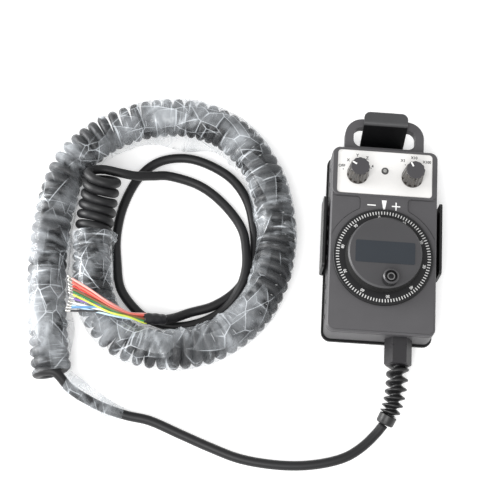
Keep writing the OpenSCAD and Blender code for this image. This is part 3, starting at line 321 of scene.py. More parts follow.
# ---------- End sleeve and wires ----------
# A short black shrink sleeve closes the jacket's end. Out of it come twelve PVC wires of 1.7 mm,
# stripped and tinned at their tips for the machine's terminals. They fan out over the coil.
sleeve_from, sleeve_to = np.array((-169.5, -74.2, 16.2)), np.array((-186.5, -78.2, 29.7))
sleeve_line = smooth_line([sleeve_from, (sleeve_from + sleeve_to) / 2 + (0, 0, 0.5), sleeve_to], 0.8)
reach = np.linspace(0, 1, len(sleeve_line))
sleeve_radii = 4.5 + 0.15 * np.sin(reach * 19) - 0.55 * np.exp(-reach * 12) - 0.5 * np.exp(-(1 - reach) * 14)
sleeve = tube_mesh("shrink_sleeve", sleeve_line / 1000, sleeve_radii / 1000, 28)
sleeve.data.materials.append(grained("sleeve_shrink", (0.014, 0.014, 0.016), 0.38, grain=500, bump=0.2))
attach(sleeve, "pendant")
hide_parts("end_sleeve")
wire_d = 1.7
wire_sides = 10
bare_steps = 4
wire_colors = {
    "salmon": (0.75, 0.17, 0.13), "pink": (0.85, 0.42, 0.38), "red": (0.62, 0.07, 0.05),
    "rose": (0.8, 0.28, 0.24), "green": (0.05, 0.25, 0.09), "lime": (0.62, 0.7, 0.1),
    "white": (0.85, 0.85, 0.83), "violet": (0.22, 0.12, 0.4), "blue": (0.12, 0.3, 0.55),
    "sky": (0.5, 0.66, 0.8), "black": (0.02, 0.02, 0.022), "brown": (0.22, 0.09, 0.04),
}
# For each wire: its place in the sleeve's mouth, where it crosses the bundle, and its tip
wire_plan = [
    ("pink", (0.2, 3.2, 1.9), (2.4, 2.4), (15.5, 13)),
    ("salmon", (-0.4, 2.1, 3.0), (0.8, 3.8), (12.5, 12)),
    ("red", (0.3, 0.9, 1.1), (1.2, 2.0), (10.0, 10.5)),
    ("rose", (-0.2, 2.5, 0.2), (3.4, 0.8), (14.0, 10.4)),
    ("brown", (0.1, -0.7, 2.8), (-0.8, 3.6), (7.4, 11.2)),
    ("green", (-0.3, -2.2, 2.2), (-1.6, 1.6), (6.0, 8.6)),
    ("lime", (0.2, -3.3, 1.0), (-4.2, 2.8), (3.4, 9.6)),
    ("white", (-0.1, -2.0, -0.7), (-3.6, 0.6), (-3.4, 8.2)),
    ("violet", (0.2, 0.5, -0.8), (-0.4, -0.2), (-0.6, 9.0)),
    ("sky", (-0.2, -0.6, -2.4), (-5.6, -0.6), (-6.2, 8.8)),
    ("blue", (0.1, 1.9, -1.6), (1.0, -1.4), (-8.8, 9.4)),
    ("black", (-0.1, -1.9, -2.4), (-3.0, -1.6), (-11.4, 9.6)),
]
tinned = grained("tinned_copper", (0.62, 0.6, 0.56), 0.3, grain=4000, Metallic=1.0)
wires = []
for color, start, cross, tip in wire_plan:
    mouth = sleeve_to + start
    route = [
        mouth + (5, 1, -4), mouth,
        sleeve_to + (-11, 0.5 + cross[0] * 0.5, 6 + cross[1] * 0.8),
        sleeve_to + (-24, 4 + cross[0], 9.5 + cross[1] * 0.6),
        sleeve_to + (-41, 7.5 + (cross[0] + tip[0]) / 2, tip[1]),
        sleeve_to + (-57 - abs(tip[0]) * 0.15, 11 + tip[0], tip[1] - 0.6),
    ]
    line = smooth_line(route, 1.2)
    wire = tube_mesh(f"wire_{color}", line / 1000, np.full(len(line), wire_d / 2000), wire_sides)
    wire.data.materials.append(
        grained(f"wire_{color}_pvc", wire_colors[color], 0.32, grain=700, mottle=0.08, bump=0.04)
    )
    wire.data.materials.append(tinned)
    bare_from = (len(line) - bare_steps) * wire_sides
    for face in wire.data.polygons:
        if min(face.vertices) >= bare_from:
            face.material_index = 1
    wires.append((wire, line))

# ---------- Packing film ----------
# A thin clear polyethylene bag is drawn over the coiled cable. It clings to the turns and is pleated
# where it was gathered. It lies flat beside the coil in places and is open at its mouth.
film_rng = np.random.default_rng(11)
film_step, film_columns = 2.2, 46
film_gap = 0.35
fan_spacing = 5.5
pleat_high = 2.3
# Where the bag lies out flat beside the coil: run along the coil, half width and reach
film_flaps = (
    (40, 26, 10), (120, 40, 2), (285, 34, 14), (395, 30, 4), (470, 40, 5), (590, 40, 8), (670, 25, 4),
)


def film_shell(line, width, low, flat_side):
    """Corners, faces, run-and-turn places and pleat heights of a film tube drawn round line."""
    _, side, up = along_line(line)
    run = np.concatenate([[0], np.cumsum(np.linalg.norm(np.diff(line, axis=0), axis=1))])
    rows = round(run[-1] / film_step)
    at = np.linspace(0, run[-1], rows + 1)
    place, sideways, upward = (
        np.stack([np.interp(at, run, a[:, k]) for k in range(3)], 1)[:, None] for a in (line, side, up)
    )
    turn = np.linspace(0, 2 * math.pi, film_columns, endpoint=False)
    tight = np.array([width(a) for a in at])[:, None] * np.ones(film_columns)
    along, around = at[:, None] * np.ones(film_columns), turn * tight
    swell = 0.5 + 0.35 * np.sin(along / 9 + turn * 2) + 0.3 * np.sin(along / 23 - turn * 3 + 1)
    pleat = np.zeros_like(swell)
    for _ in range(round(run[-1] / fan_spacing)):
        start = film_rng.uniform((0, 10), (run[-1], 2 * math.pi * tight.mean() - 10))
        lean = film_rng.normal(math.pi / 2, 0.55)
        for _ in range(int(film_rng.integers(2, 6))):
            slant, reach = lean + film_rng.normal(0, 0.22), film_rng.uniform(12, 46)
            high, half = film_rng.uniform(0.5, pleat_high), film_rng.uniform(1.6, 3.4)
            ahead, beside = along - start[0], around - start[1]
            u = (ahead * math.cos(slant) + beside * math.sin(slant)) / reach
            v = np.abs(beside * math.cos(slant) - ahead * math.sin(slant)) / half
            ridge = high * np.clip(1 - v, 0, 1) * np.clip(1 - (2 * u - 1) ** 2, 0, 1)
            pleat = np.maximum(pleat, ridge)
            start = start + film_rng.normal(0, 3.5, 2)
    angle = turn - math.pi / 2
    inner = 0.3 + 0.35 * (1 + np.cos(angle))
    radius = tight + film_gap + (np.clip(swell, 0, 2) * 0.7 + pleat) * inner
    if flat_side:
        flap = 1.5 + sum(
            far * np.exp(-(((at - middle) / half) ** 2) * 1.5) for middle, half, far in film_flaps
        )
        drawn = np.clip(1 - np.abs(angle + 0.75) / 0.5, 0, 1)
        radius = radius + flap[:, None] * drawn * (1 + 0.12 * pleat)
    corners = place + radius[..., None] * (
        np.cos(angle)[:, None] * sideways + np.sin(angle)[:, None] * upward
    )
    if flat_side:
        corners[..., 2] += (low + 0.6 + 0.4 * pleat - corners[..., 2]) * drawn**0.5
    corners[..., 2] = np.maximum(corners[..., 2], low)
    faces = [
        (i * film_columns + j, (i + 1) * film_columns + j,
         (i + 1) * film_columns + (j + 1) % film_columns, i * film_columns + (j + 1) % film_columns)
        for i in range(rows) for j in range(film_columns)
    ]
    places = np.stack([along, around, 0 * along], 2)
    return corners.reshape(-1, 3), faces, places.reshape(-1, 3), pleat.ravel() / pleat_high


coil_film_line = smooth_line(coil_route[:26], 1.0)
coil_film_length = float(np.linalg.norm(np.diff(coil_film_line, axis=0), axis=1).sum())
lead_film_line = smooth_line(
    [(-197, -149, 5), (-208, -147, 7), (-221, -143, 11), (-234, -138, 16), (-245, -133, 19)], 1.0
)
bag = film_shell(
    coil_film_line, lambda at: coil_d * 500 + 2.2 * math.exp(-(coil_film_length - at) / 9), 0.4, True
)
gather = film_shell(lead_film_line, lambda at: 4.4 + at * 0.17, 0.4, False)
offset = len(bag[0])
film_mesh = bpy.data.meshes.new("packing_film_bag")
film_mesh.from_pydata(
    [tuple(p / 1000) for p in np.vstack([bag[0], gather[0]])], [],
    bag[1] + [tuple(v + offset for v in face) for face in gather[1]],
)
film_mesh.polygons.foreach_set("use_smooth", [True] * len(film_mesh.polygons))
film_mesh.update()
film_mesh.attributes.new("film_pleat", "FLOAT", "POINT").data.foreach_set(
    "value", np.concatenate([bag[3], gather[3]])
)
film_mesh.attributes.new("film_place", "FLOAT_VECTOR", "POINT").data.foreach_set(
    "vector", (np.vstack([bag[2], gather[2]]) / 1000).ravel()
)
film = add_piece("packing_film_bag", film_mesh)
film_clear = new_finish("film_clear", (0.74, 0.78, 0.82), 0.15, IOR=1.5)
film_tree = film_clear.node_tree
film_place, film_pleat = (film_tree.nodes.new("ShaderNodeAttribute") for _ in range(2))
film_place.attribute_name, film_pleat.attribute_name = "film_place", "film_pleat"
film_spot = film_tree.nodes.new("ShaderNodeTexCoord").outputs["Object"]


def film_grid(turn, size):
    """Places on the film along the coil and round it, turned and then scaled by size per metre."""
    grid = film_tree.nodes.new("ShaderNodeMapping")
    grid.inputs["Rotation"].default_value = (0, 0, turn)
    grid.inputs["Scale"].default_value = size
    film_tree.links.new(film_place.outputs["Vector"], grid.inputs["Vector"])
    return grid.outputs["Vector"]


def film_patch(lines, scale, offset):
    """The lines, kept in patches only; a lower offset makes the patches smaller."""
    spots = noise_node(film_tree, film_spot, scale, 1)
    patch = math_node(film_tree, "MULTIPLY_ADD", spots, 7, offset, clamp=True)
    return math_node(film_tree, "MULTIPLY", lines, patch)


# How much the film hides: a thin haze, more of it on pleats and at a slant
film_haze = noise_node(film_tree, film_spot, 42, 4)
film_hide = math_node(film_tree, "MULTIPLY_ADD", film_haze, 1.2, -0.55, clamp=True)
film_fold = math_node(film_tree, "POWER", film_pleat.outputs["Fac"], 1.6)
film_hide = math_node(film_tree, "MULTIPLY_ADD", film_fold, 0.3, film_hide)
# Creases, straight lines between flat facets that differ a little in haze; their whiter lines are partly the
# film's own whitening at folds and partly painted highlight: turn, size, width, whiteness
for turn, size, width, white in ((0.3, (30, 58, 1), 0.028, 0.48), (1.1, (50, 95, 1), 0.036, 0.42)):
    grid = film_grid(turn, size)
    edge, facet = (film_tree.nodes.new("ShaderNodeTexVoronoi") for _ in range(2))
    edge.feature = "DISTANCE_TO_EDGE"
    for cells in (edge, facet):
        cells.voronoi_dimensions = "2D"
        cells.inputs["Scale"].default_value = 1.0
        film_tree.links.new(grid, cells.inputs["Vector"])
    crease = math_node(film_tree, "MULTIPLY_ADD", edge.outputs["Distance"], -1 / width, 1, clamp=True)
    crease = film_patch(crease, 34 + 11 * turn, -3.15)
    film_hide = math_node(film_tree, "MULTIPLY_ADD", crease, white, film_hide)
    film_hide = math_node(film_tree, "MULTIPLY_ADD", facet.outputs["Color"], 0.2, film_hide)
    film_hide = math_node(film_tree, "SUBTRACT", film_hide, 0.085)
# Fans of fine streaks run across the coil; their whiteness is partly the film's own streaking and partly
# painted highlight: turn and whiteness
for turn, white in ((0.15, 0.75), (0.8, 0.65), (-0.65, 0.65)):
    streak = noise_node(film_tree, film_grid(turn, (380, 26, 1)), 1.0, 2)
    streak = math_node(film_tree, "MULTIPLY_ADD", streak, 7, -4.1, clamp=True)
    streak = film_patch(streak, 30 + 9 * turn, -3.8)
    film_hide = math_node(film_tree, "MULTIPLY_ADD", streak, white, film_hide)
film_slant = film_tree.nodes.new("ShaderNodeLayerWeight")
film_slant.inputs["Blend"].default_value = 0.3
film_hide = math_node(film_tree, "MULTIPLY_ADD", film_slant.outputs["Facing"], 0.2, film_hide)
film_hide = math_node(film_tree, "MINIMUM", math_node(film_tree, "MAXIMUM", film_hide, 0.03), 0.88)
film_tree.links.new(film_hide, film_tree.nodes["Principled BSDF"].inputs["Alpha"])
bump_normal(film_clear, noise_node(film_tree, film_spot, 130, 3), 0.5, 0.0015)
film.data.materials.append(film_clear)
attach(film, "pendant")
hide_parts("packing_film")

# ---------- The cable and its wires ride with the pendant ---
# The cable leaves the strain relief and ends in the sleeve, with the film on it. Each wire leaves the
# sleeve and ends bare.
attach(cable, "pendant")
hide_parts("cable_lead", "curly_cord", "cable_tail")
for wire, line in wires:
    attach(wire, "pendant")
    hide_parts("conductors")

# ---------- Hanger ----------
# A two-millimetre steel sheet is cut and bent into a back plate, two side arms that hold the pendant
# and a hook strap at the top. It is powder coated in satin black; the hook's lip is painted a lighter grey,
# a painted highlight where its top catches the light.


def paint_node(material, *names):
    """Gives CAD nodes their finish."""
    for name in names:
        nodes[name].data.materials.clear()
        nodes[name].data.materials.append(material)


def height_mask(tree, level):
    """1 where the surface is above level, in millimetres, and 0 below."""
    parts = tree.nodes.new("ShaderNodeSeparateXYZ")
    tree.links.new(tree.nodes.new("ShaderNodeTexCoord").outputs["Object"], parts.inputs["Vector"])
    return math_node(tree, "GREATER_THAN", parts.outputs["Z"], level / 1000)


def mix_colors(tree, mask, low_color, high_color):
    """low_color where mask is 0 and high_color where it is 1; a colour may be another node's output."""
    mix = tree.nodes.new("ShaderNodeMix")
    mix.data_type = "RGBA"
    tree.links.new(mask, mix.inputs["Factor"])
    for socket, color in (("A_Color", low_color), ("B_Color", high_color)):
        target = next(s for s in mix.inputs if s.identifier == socket)
        if isinstance(color, tuple):
            target.default_value = (*color, 1)
        else:
            tree.links.new(color, target)
    return next(s for s in mix.outputs if s.identifier == "Result_Color")


def tone_and_light_by_height(name, top_color, side_color, level, roughness, side_roughness, **grain):
    """A moulding whose top, above level, has another colour and sheen than its sides. The knobs use it for
    their grey tops; the hanger, hub and spinner use it for a painted highlight on a top or painted shade on
    sides.
    """
    material = grained(name, top_color, roughness, **grain)
    tree = material.node_tree
    grain_node = tree.nodes["grain"]
    mask = height_mask(tree, level)
    tree.links.new(mix_colors(tree, mask, side_color, top_color), grain_node.inputs["Color"])
    sheen = math_node(tree, "MULTIPLY_ADD", mask, roughness - side_roughness, side_roughness)
    tree.links.new(sheen, grain_node.inputs["Roughness"])
    return material


# Above this height, in millimetres, the paint is lighter: a painted highlight on the hook's lip.
hanger_highlight_z = 28.25
paint_node(
    tone_and_light_by_height("hanger_paint", (0.045, 0.045, 0.047), (0.0045, 0.0045, 0.005), hanger_highlight_z, 0.45, 0.4,
             grain=1500, mottle=0.2, spread=0.2, bump=0.3),
    "hanger_bracket",
)

# ---------- Housing ----------
# Two moulded ABS shells meet over a rubber cord seal and are held by six screws from behind.
# The front shell carries the loop and a printed minus, pointer and plus above the wheel.
housing_finish = grained(
    "housing_plastic", (0.070, 0.068, 0.072), 0.5, grain=2600, mottle=0.18, spread=0.15, bump=0.3
)
paint_node(housing_finish, "front_cover", "back_shell")
paint_node(grained("seal_rubber", (0.015, 0.015, 0.015), 0.7, grain=1200), "housing_gasket", "gland_seal")
paint_node(
    grained("screw_steel", (0.5, 0.5, 0.51), 0.35, grain=5000, mottle=0.25, Metallic=1.0),
    "cover_screws", "board_screws", "encoder_screws", "hub_screws",
)


def printed(name, meshes, material, body):
    """Joins flat printed shapes into one thin piece that rides with body."""
    joined = bmesh.new()
    for mesh in meshes:
        joined.from_mesh(mesh)
        bpy.data.meshes.remove(mesh)
    bmesh.ops.remove_doubles(joined, verts=joined.verts, dist=1e-7)
    bmesh.ops.recalc_face_normals(joined, faces=joined.faces)
    mesh = bpy.data.meshes.new(name)
    joined.to_mesh(mesh)
    joined.free()
    mesh.materials.append(material)
    piece = add_piece(name, mesh)
    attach(piece, body)
    return piece


def flat_shape(points, low, thickness):
    """A mesh of the outline points, in millimetres, from low upwards by thickness."""
    mesh = bpy.data.meshes.new("shape")
    count = len(points)
    mesh.from_pydata(
        [(x / 1000, y / 1000, z / 1000) for z in (low, low + thickness) for x, y in points], [],
        [tuple(range(count))[::-1], tuple(range(count, 2 * count))]
        + [(i, (i + 1) % count, count + (i + 1) % count, count + i) for i in range(count)],
    )
    return mesh


face_z = 30.3
print_t = 0.06
ink_white = grained("ink_white", (0.84, 0.84, 0.83), 0.5, grain=2000, mottle=0.06, bump=0.1)
mark_y, stroke, arm = 28.6, 0.95, 3.4
minus = [(-10.2 + sx * arm, mark_y + sy * stroke / 2) for sx, sy in ((-1, -1), (1, -1), (1, 1), (-1, 1))]
plus = [
    (9.6 + x, mark_y + y) for x, y in (
        (-arm, -stroke / 2), (-stroke / 2, -stroke / 2), (-stroke / 2, -arm), (stroke / 2, -arm),
        (stroke / 2, -stroke / 2), (arm, -stroke / 2), (arm, stroke / 2), (stroke / 2, stroke / 2),
        (stroke / 2, arm), (-stroke / 2, arm), (-stroke / 2, stroke / 2), (-arm, stroke / 2),
    )
]
pointer = [(-0.55, 24.3), (0.55, 24.3), (2.0, 33.2), (-2.0, 33.2)]
printed(
    "face_marks", [flat_shape(shape, face_z, print_t) for shape in (minus, plus, pointer)],
    ink_white, "pendant",
)

# ---------- Control panel and lamp ----------
# A thin plate under a white polycarbonate film fills the upper part of the face. Switch positions are
# printed on it in dark grey. A small grey signal lamp sits in a plated bezel between the knobs.
paint_node(
    grained("panel_film", (0.80, 0.79, 0.775), 0.3, grain=1800, mottle=0.03, bump=0.05), "control_panel"
)
panel_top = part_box("control_panel")[1][2] * 1000
knob_x, knob_y = 22.2, 54.5
ink_grey = grained("ink_grey", (0.06, 0.06, 0.062), 0.55, grain=2000, bump=0.1)


def lettering(words, height, x, y, low, turn=0.0, squeeze=1.0, bold=0.03):
    """A thin solid mesh of plain letters or figures, centred on x and y, in millimetres."""
    curve = bpy.data.curves.new("letters", "FONT")
    curve.body = words
    curve.align_x = "CENTER"
    curve.resolution_u = 3
    curve.extrude = 0.5
    curve.offset = bold
    carrier = add_piece("letters", curve)
    bpy.context.view_layer.update()
    mesh = bpy.data.meshes.new_from_object(carrier.evaluated_get(bpy.context.evaluated_depsgraph_get()))
    bpy.data.objects.remove(carrier)
    bpy.data.curves.remove(curve)
    corners = np.array([v.co for v in mesh.vertices])
    middle = (corners.min(0) + corners.max(0)) / 2
    size = height / (corners[:, 1].max() - corners[:, 1].min()) / 1000
    mesh.transform(
        Matrix.Translation((x / 1000, y / 1000, (low + print_t / 2) / 1000))
        @ Matrix.Rotation(turn, 4, "Z")
        @ Matrix.Diagonal((size * squeeze, size, print_t / 1000, 1))
        @ Matrix.Translation(-Vector(middle))
    )
    return mesh


def round_dot(x, y, low, diameter):
    """A thin printed dot."""
    turns = [2 * math.pi * i / 16 for i in range(16)]
    return flat_shape(
        [(x + diameter / 2 * math.cos(t), y + diameter / 2 * math.sin(t)) for t in turns], low, print_t
    )


panel_print = []
letter_h, dot_r, dot_d = 2.5, 12.3, 0.9
# Each label: knob side, words, angle and distance from the knob's axis, and the angle of its dot, if any
for side, words, at, away, dot in (
    (-1, "OFF", 153, 14.6, 163), (-1, "X", 124, 14.2, None), (-1, "Y", 92, 16.4, None),
    (-1, "Z", 63, 16.4, None), (-1, "4", 33, 14.2, 29),
    (1, "X1", 119, 16.6, 118), (1, "X10", 86, 17.6, None), (1, "X100", 51, 18.6, None),
):
    label_x = side * knob_x + away * math.cos(math.radians(at))
    label_y = knob_y + away * math.sin(math.radians(at))
    panel_print.append(lettering(words, letter_h, label_x, label_y, panel_top, squeeze=0.95))
    if dot:
        dot_x = side * knob_x + dot_r * math.cos(math.radians(dot))
        dot_y = knob_y + dot_r * math.sin(math.radians(dot))
        panel_print.append(round_dot(dot_x, dot_y, panel_top, dot_d))
printed("panel_print", panel_print, ink_grey, "pendant")
paint_node(grained("lamp_metal", (0.10, 0.10, 0.10), 0.35, grain=2500, Metallic=0.6), "lamp_bezel")
paint_node(
    grained("lamp_glass", (0.30, 0.30, 0.29), 0.22, grain=500, mottle=0.3, Coat_Weight=0.4), "lamp_lens"
)

# ---------- Rotary switches ----------
# Two rotary switches hang under the panel on nickelled nuts. Each carries a pressed-on knob of black
# plastic, with twelve flutes round its sides, a satin grey top and a white pointer laid into the top.
paint_node(
    grained("switch_phenolic", (0.03, 0.03, 0.033), 0.5, grain=1500), "axis_switch", "multiplier_switch"
)
paint_node(
    grained("nickelled_brass", (0.55, 0.52, 0.46), 0.3, grain=3500, Metallic=1.0),
    "axis_switch_nut", "multiplier_switch_nut", "axis_switch_shaft", "multiplier_switch_shaft",
)


def round_axis(tree, x, y, depth=1):
    """Places measured from the axis at x and y, in millimetres; depth 0 leaves out their height."""
    centred = tree.nodes.new("ShaderNodeMapping")
    centred.inputs["Location"].default_value = (-x / 1000, -y / 1000, 0)
    centred.inputs["Scale"].default_value = (1, 1, depth)
    tree.links.new(tree.nodes.new("ShaderNodeTexCoord").outputs["Object"], centred.inputs["Vector"])
    return centred.outputs["Vector"]


def tint(material, mask, color):
    """Gives a grained finish another colour where mask is 1."""
    tree = material.node_tree
    mixed = mix_colors(tree, mask, tree.nodes["grain"].outputs["Color"], color)
    tree.links.new(mixed, tree.nodes["Principled BSDF"].inputs["Base Color"])


def knob_finish(name, x, top):
    """Glossy fluted sides with painted highlight streaks up and down, round the axis at x, and a satin top.
    """
    side_top = top - 0.5
    material = tone_and_light_by_height(name, (0.05, 0.048, 0.052), (0.02, 0.018, 0.016), side_top, 0.42, 0.2,
                        grain=1500, mottle=0.2, bump=0.08)
    tree = material.node_tree
    # The streaks are painted highlight: lighter, part-metallic bands on the sides that stand in for light
    # caught by the flutes.
    streak = noise_node(tree, round_axis(tree, x, knob_y), 1.0, 3, stretch=(900, 900, 60))
    glint_band = math_node(tree, "MULTIPLY_ADD", streak, 5.0, -2.1, clamp=True)
    below = math_node(tree, "SUBTRACT", 1.0, height_mask(tree, side_top))
    glint_band = math_node(tree, "MULTIPLY", glint_band, below)
    tint(material, glint_band, (0.085, 0.073, 0.062))
    metal = math_node(tree, "MULTIPLY", glint_band, 0.7)
    tree.links.new(metal, tree.nodes["Principled BSDF"].inputs["Metallic"])
    return material


knob_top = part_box("axis_knob")[1][2] * 1000
paint_node(knob_finish("axis_knob_plastic", -knob_x, knob_top), "axis_knob")
paint_node(knob_finish("multiplier_knob_plastic", knob_x, knob_top), "multiplier_knob")
paint_node(
    grained("pointer_inlay", (0.86, 0.86, 0.84), 0.4, grain=2000, mottle=0.05), "axis_knob_pointer",
    "multiplier_knob_pointer",
)

# ---------- Circuit board ----------
# A green glass-epoxy board on four posts carries two rows of green screw terminals, where the wires
# from the encoder and the switches meet the cable.
board_finish = grained("board_green", (0.02, 0.13, 0.05), 0.35, grain=900, mottle=0.3, bump=0.1)
board_tree = board_finish.node_tree
tracks = board_tree.nodes.new("ShaderNodeTexBrick")
for socket, value in (("Scale", 300), ("Mortar Size", 0.06), ("Brick Width", 1.6), ("Row Height", 0.5)):
    tracks.inputs[socket].default_value = value
board_tree.links.new(board_tree.nodes.new("ShaderNodeTexCoord").outputs["Object"], tracks.inputs["Vector"])
tint(board_finish, tracks.outputs["Fac"], (0.05, 0.3, 0.12))
paint_node(board_finish, "circuit_board", "sensor_board")
paint_node(grained("terminal_green", (0.03, 0.24, 0.08), 0.42, grain=1400), "terminal_blocks")

# ---------- Encoder ----------
# The wheel turns a steel shaft in two small bearings, in a turned aluminium can. On the shaft sit a
# coded disc, read by the sensor board, and a detent wheel, on which a sprung ball clicks.
dial_x, dial_y = 0.0, -15.5


def turned_finish(name, color, roughness, x, y, rings=2200):
    """Turned metal with fine tool marks in rings round the axis at x and y."""
    material = grained(name, color, roughness, grain=2500, mottle=0.1, Metallic=1.0)
    tree = material.node_tree
    marks = tree.nodes.new("ShaderNodeTexWave")
    marks.wave_type = "RINGS"
    marks.rings_direction = "Z"
    marks.inputs["Scale"].default_value = rings
    marks.inputs["Distortion"].default_value = 1.5
    tree.links.new(round_axis(tree, x, y), marks.inputs["Vector"])
    bump_normal(material, marks.outputs["Fac"], 0.2)
    return material


paint_node(turned_finish("can_aluminium", (0.42, 0.43, 0.45), 0.35, dial_x, dial_y),
           "encoder_can", "encoder_end_plate")
paint_node(turned_finish("shaft_steel", (0.5, 0.5, 0.51), 0.25, dial_x, dial_y, 3000),
           "encoder_bearings", "wheel_shaft", "detent_ball", "detent_spring")
disc_finish = grained("disc_glass", (0.72, 0.75, 0.76), 0.12, grain=900, mottle=0.05, bump=0.02)
disc_tree = disc_finish.node_tree
disc_slots = 100
disc_angle = disc_tree.nodes.new("ShaderNodeTexGradient")
disc_angle.gradient_type = "RADIAL"
disc_tree.links.new(round_axis(disc_tree, dial_x, dial_y), disc_angle.inputs["Vector"])
slots = math_node(disc_tree, "MULTIPLY", disc_angle.outputs["Fac"], disc_slots)
slots = math_node(disc_tree, "GREATER_THAN", math_node(disc_tree, "FRACT", slots), 0.5)
tint(disc_finish, slots, (0.03, 0.03, 0.03))
paint_node(disc_finish, "coded_disc")
paint_node(grained("detent_nylon", (0.72, 0.7, 0.64), 0.45, grain=1200), "detent_wheel")

# ---------- Dial ----------
# The wheel's skirt is a black moulded ring. A hundred white strokes and the tens are printed on its
# face, and it turns with the wheel.
paint_node(
    grained("dial_plastic", (0.007, 0.007, 0.008), 0.5, grain=2200, mottle=0.2, bump=0.2,
            Specular_IOR_Level=0.4),
    "dial_ring",
)
dial_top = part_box("dial_ring")[1][2] * 1000


def mark_ring_tree():
    """Geometry nodes: equal flat strokes stand round a centre, each pointing away from it."""
    tree = bpy.data.node_groups.new("mark_ring", "GeometryNodeTree")
    tree.interface.new_socket("Geometry", in_out="INPUT", socket_type="NodeSocketGeometry")
    for name, kind in (
        ("Count", "NodeSocketInt"), ("Radius", "NodeSocketFloat"), ("Centre", "NodeSocketVector"),
        ("Stroke Size", "NodeSocketVector"), ("Finish", "NodeSocketMaterial"),
    ):
        tree.interface.new_socket(name, in_out="INPUT", socket_type=kind)
    tree.interface.new_socket("Geometry", in_out="OUTPUT", socket_type="NodeSocketGeometry")
    new, link = tree.nodes.new, tree.links.new
    given, result = new("NodeGroupInput"), new("NodeGroupOutput")
    circle, box = new("GeometryNodeMeshCircle"), new("GeometryNodeMeshCube")
    index = new("GeometryNodeInputIndex")
    link(given.outputs["Count"], circle.inputs["Vertices"])
    link(given.outputs["Radius"], circle.inputs["Radius"])
    link(given.outputs["Stroke Size"], box.inputs["Size"])
    share, angle = new("ShaderNodeMath"), new("ShaderNodeMath")
    share.operation, angle.operation = "DIVIDE", "MULTIPLY"
    link(index.outputs["Index"], share.inputs[0])
    link(given.outputs["Count"], share.inputs[1])
    link(share.outputs[0], angle.inputs[0])
    angle.inputs[1].default_value = 2 * math.pi
    turned = new("ShaderNodeCombineXYZ")
    link(angle.outputs[0], turned.inputs["Z"])
    rotation = new("FunctionNodeEulerToRotation")
    link(turned.outputs["Vector"], rotation.inputs["Euler"])
    strokes, moved = new("GeometryNodeInstanceOnPoints"), new("GeometryNodeTransform")
    link(circle.outputs["Mesh"], strokes.inputs["Points"])
    link(box.outputs["Mesh"], strokes.inputs["Instance"])
    link(rotation.outputs["Rotation"], strokes.inputs["Rotation"])
    link(strokes.outputs["Instances"], moved.inputs["Geometry"])
    link(given.outputs["Centre"], moved.inputs["Translation"])
    real, finish = new("GeometryNodeRealizeInstances"), new("GeometryNodeSetMaterial")
    link(moved.outputs["Geometry"], real.inputs["Geometry"])
    link(real.outputs["Geometry"], finish.inputs["Geometry"])
    link(given.outputs["Finish"], finish.inputs["Material"])
    link(finish.outputs["Geometry"], result.inputs["Geometry"])
    return tree


def grown(name, tree, values, body):
    """A plain mesh piece made by a geometry nodes tree with the given inputs."""
    piece = add_piece(name, bpy.data.meshes.new(name))
    maker = piece.modifiers.new("maker", "NODES")
    maker.node_group = tree
    for item in tree.interface.items_tree:
        if item.in_out == "INPUT" and item.name in values:
            maker[item.identifier] = values[item.name]
    bpy.context.view_layer.update()
    mesh = bpy.data.meshes.new_from_object(piece.evaluated_get(bpy.context.evaluated_depsgraph_get()))
    piece.modifiers.remove(maker)
    piece.data = mesh
    mesh.name = name
    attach(piece, body)
    return piece


dial_ink = grained("dial_ink", (0.6, 0.6, 0.59), 0.5, grain=2000, mottle=0.06, bump=0.1)
stroke_centre = (dial_x / 1000, dial_y / 1000, (dial_top + print_t / 2) / 1000)
grown("dial_scale", mark_ring_tree(), {
    "Count": 100, "Radius": 0.0366, "Centre": stroke_centre,
    "Stroke Size": (0.0026, 0.00075, print_t / 1000), "Finish": dial_ink,
}, "handwheel")
zero_at, figure_r = 97.2, 33.2
dial_figures = []
for tens in range(10):
    at = math.radians(zero_at - 36 * tens)
    figure_x, figure_y = dial_x + figure_r * math.cos(at), dial_y + figure_r * math.sin(at)
    dial_figures.append(
        lettering(str(10 * tens), letter_h, figure_x, figure_y, dial_top, at - math.pi / 2, squeeze=0.95)
    )
printed("dial_figures", dial_figures, dial_ink, "handwheel")

# ---------- Handwheel hub ----------
# The hub is a satin grey cap held to the dial by screws from behind; its side is painted near black, a
# painted shade where the side lies in shadow under the top's edge.
# A blank plate lies on its face. The small grip spins on a socket-head screw; its side and the recess round
# the screw are painted near black, painted shade, and the screw head's centre is left near black as painted
# shade of its hex socket.
hub_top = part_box("wheel_hub")[1][2] * 1000
# Below hub_top - 1.2 the hub is painted near black: painted shade on its side.
paint_node(
    tone_and_light_by_height("hub_plastic", (0.047, 0.046, 0.049), (0.002, 0.002, 0.002), hub_top - 1.2, 0.48, 0.8,
             grain=2400, mottle=0.15, bump=0.2),
    "wheel_hub",
)
plate_w, plate_l, plate_r, plate_t = 47.0, 18.0, 1.2, 0.25
plate_outline = [
    (dial_x + sx * (plate_w / 2 - plate_r) + plate_r * math.cos(t),
     dial_y + sy * (plate_l / 2 - plate_r) + plate_r * math.sin(t))
    for sx, sy, start in ((1, 1, 0), (-1, 1, 1), (-1, -1, 2), (1, -1, 3))
    for t in (math.pi / 2 * (start + k / 4) for k in range(5))
]
printed(
    "blank_plate", [flat_shape(plate_outline, hub_top, plate_t)],
    grained("plate_slate", (0.017, 0.022, 0.029), 0.45, grain=1600, mottle=0.1, bump=0.08),
    "handwheel",
)
spinner_low, spinner_high = (corner * 1000 for corner in map(np.array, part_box("spinner_knob")))
spin_x, spin_y, _ = (spinner_low + spinner_high) / 2
spinner_top = spinner_high[2]
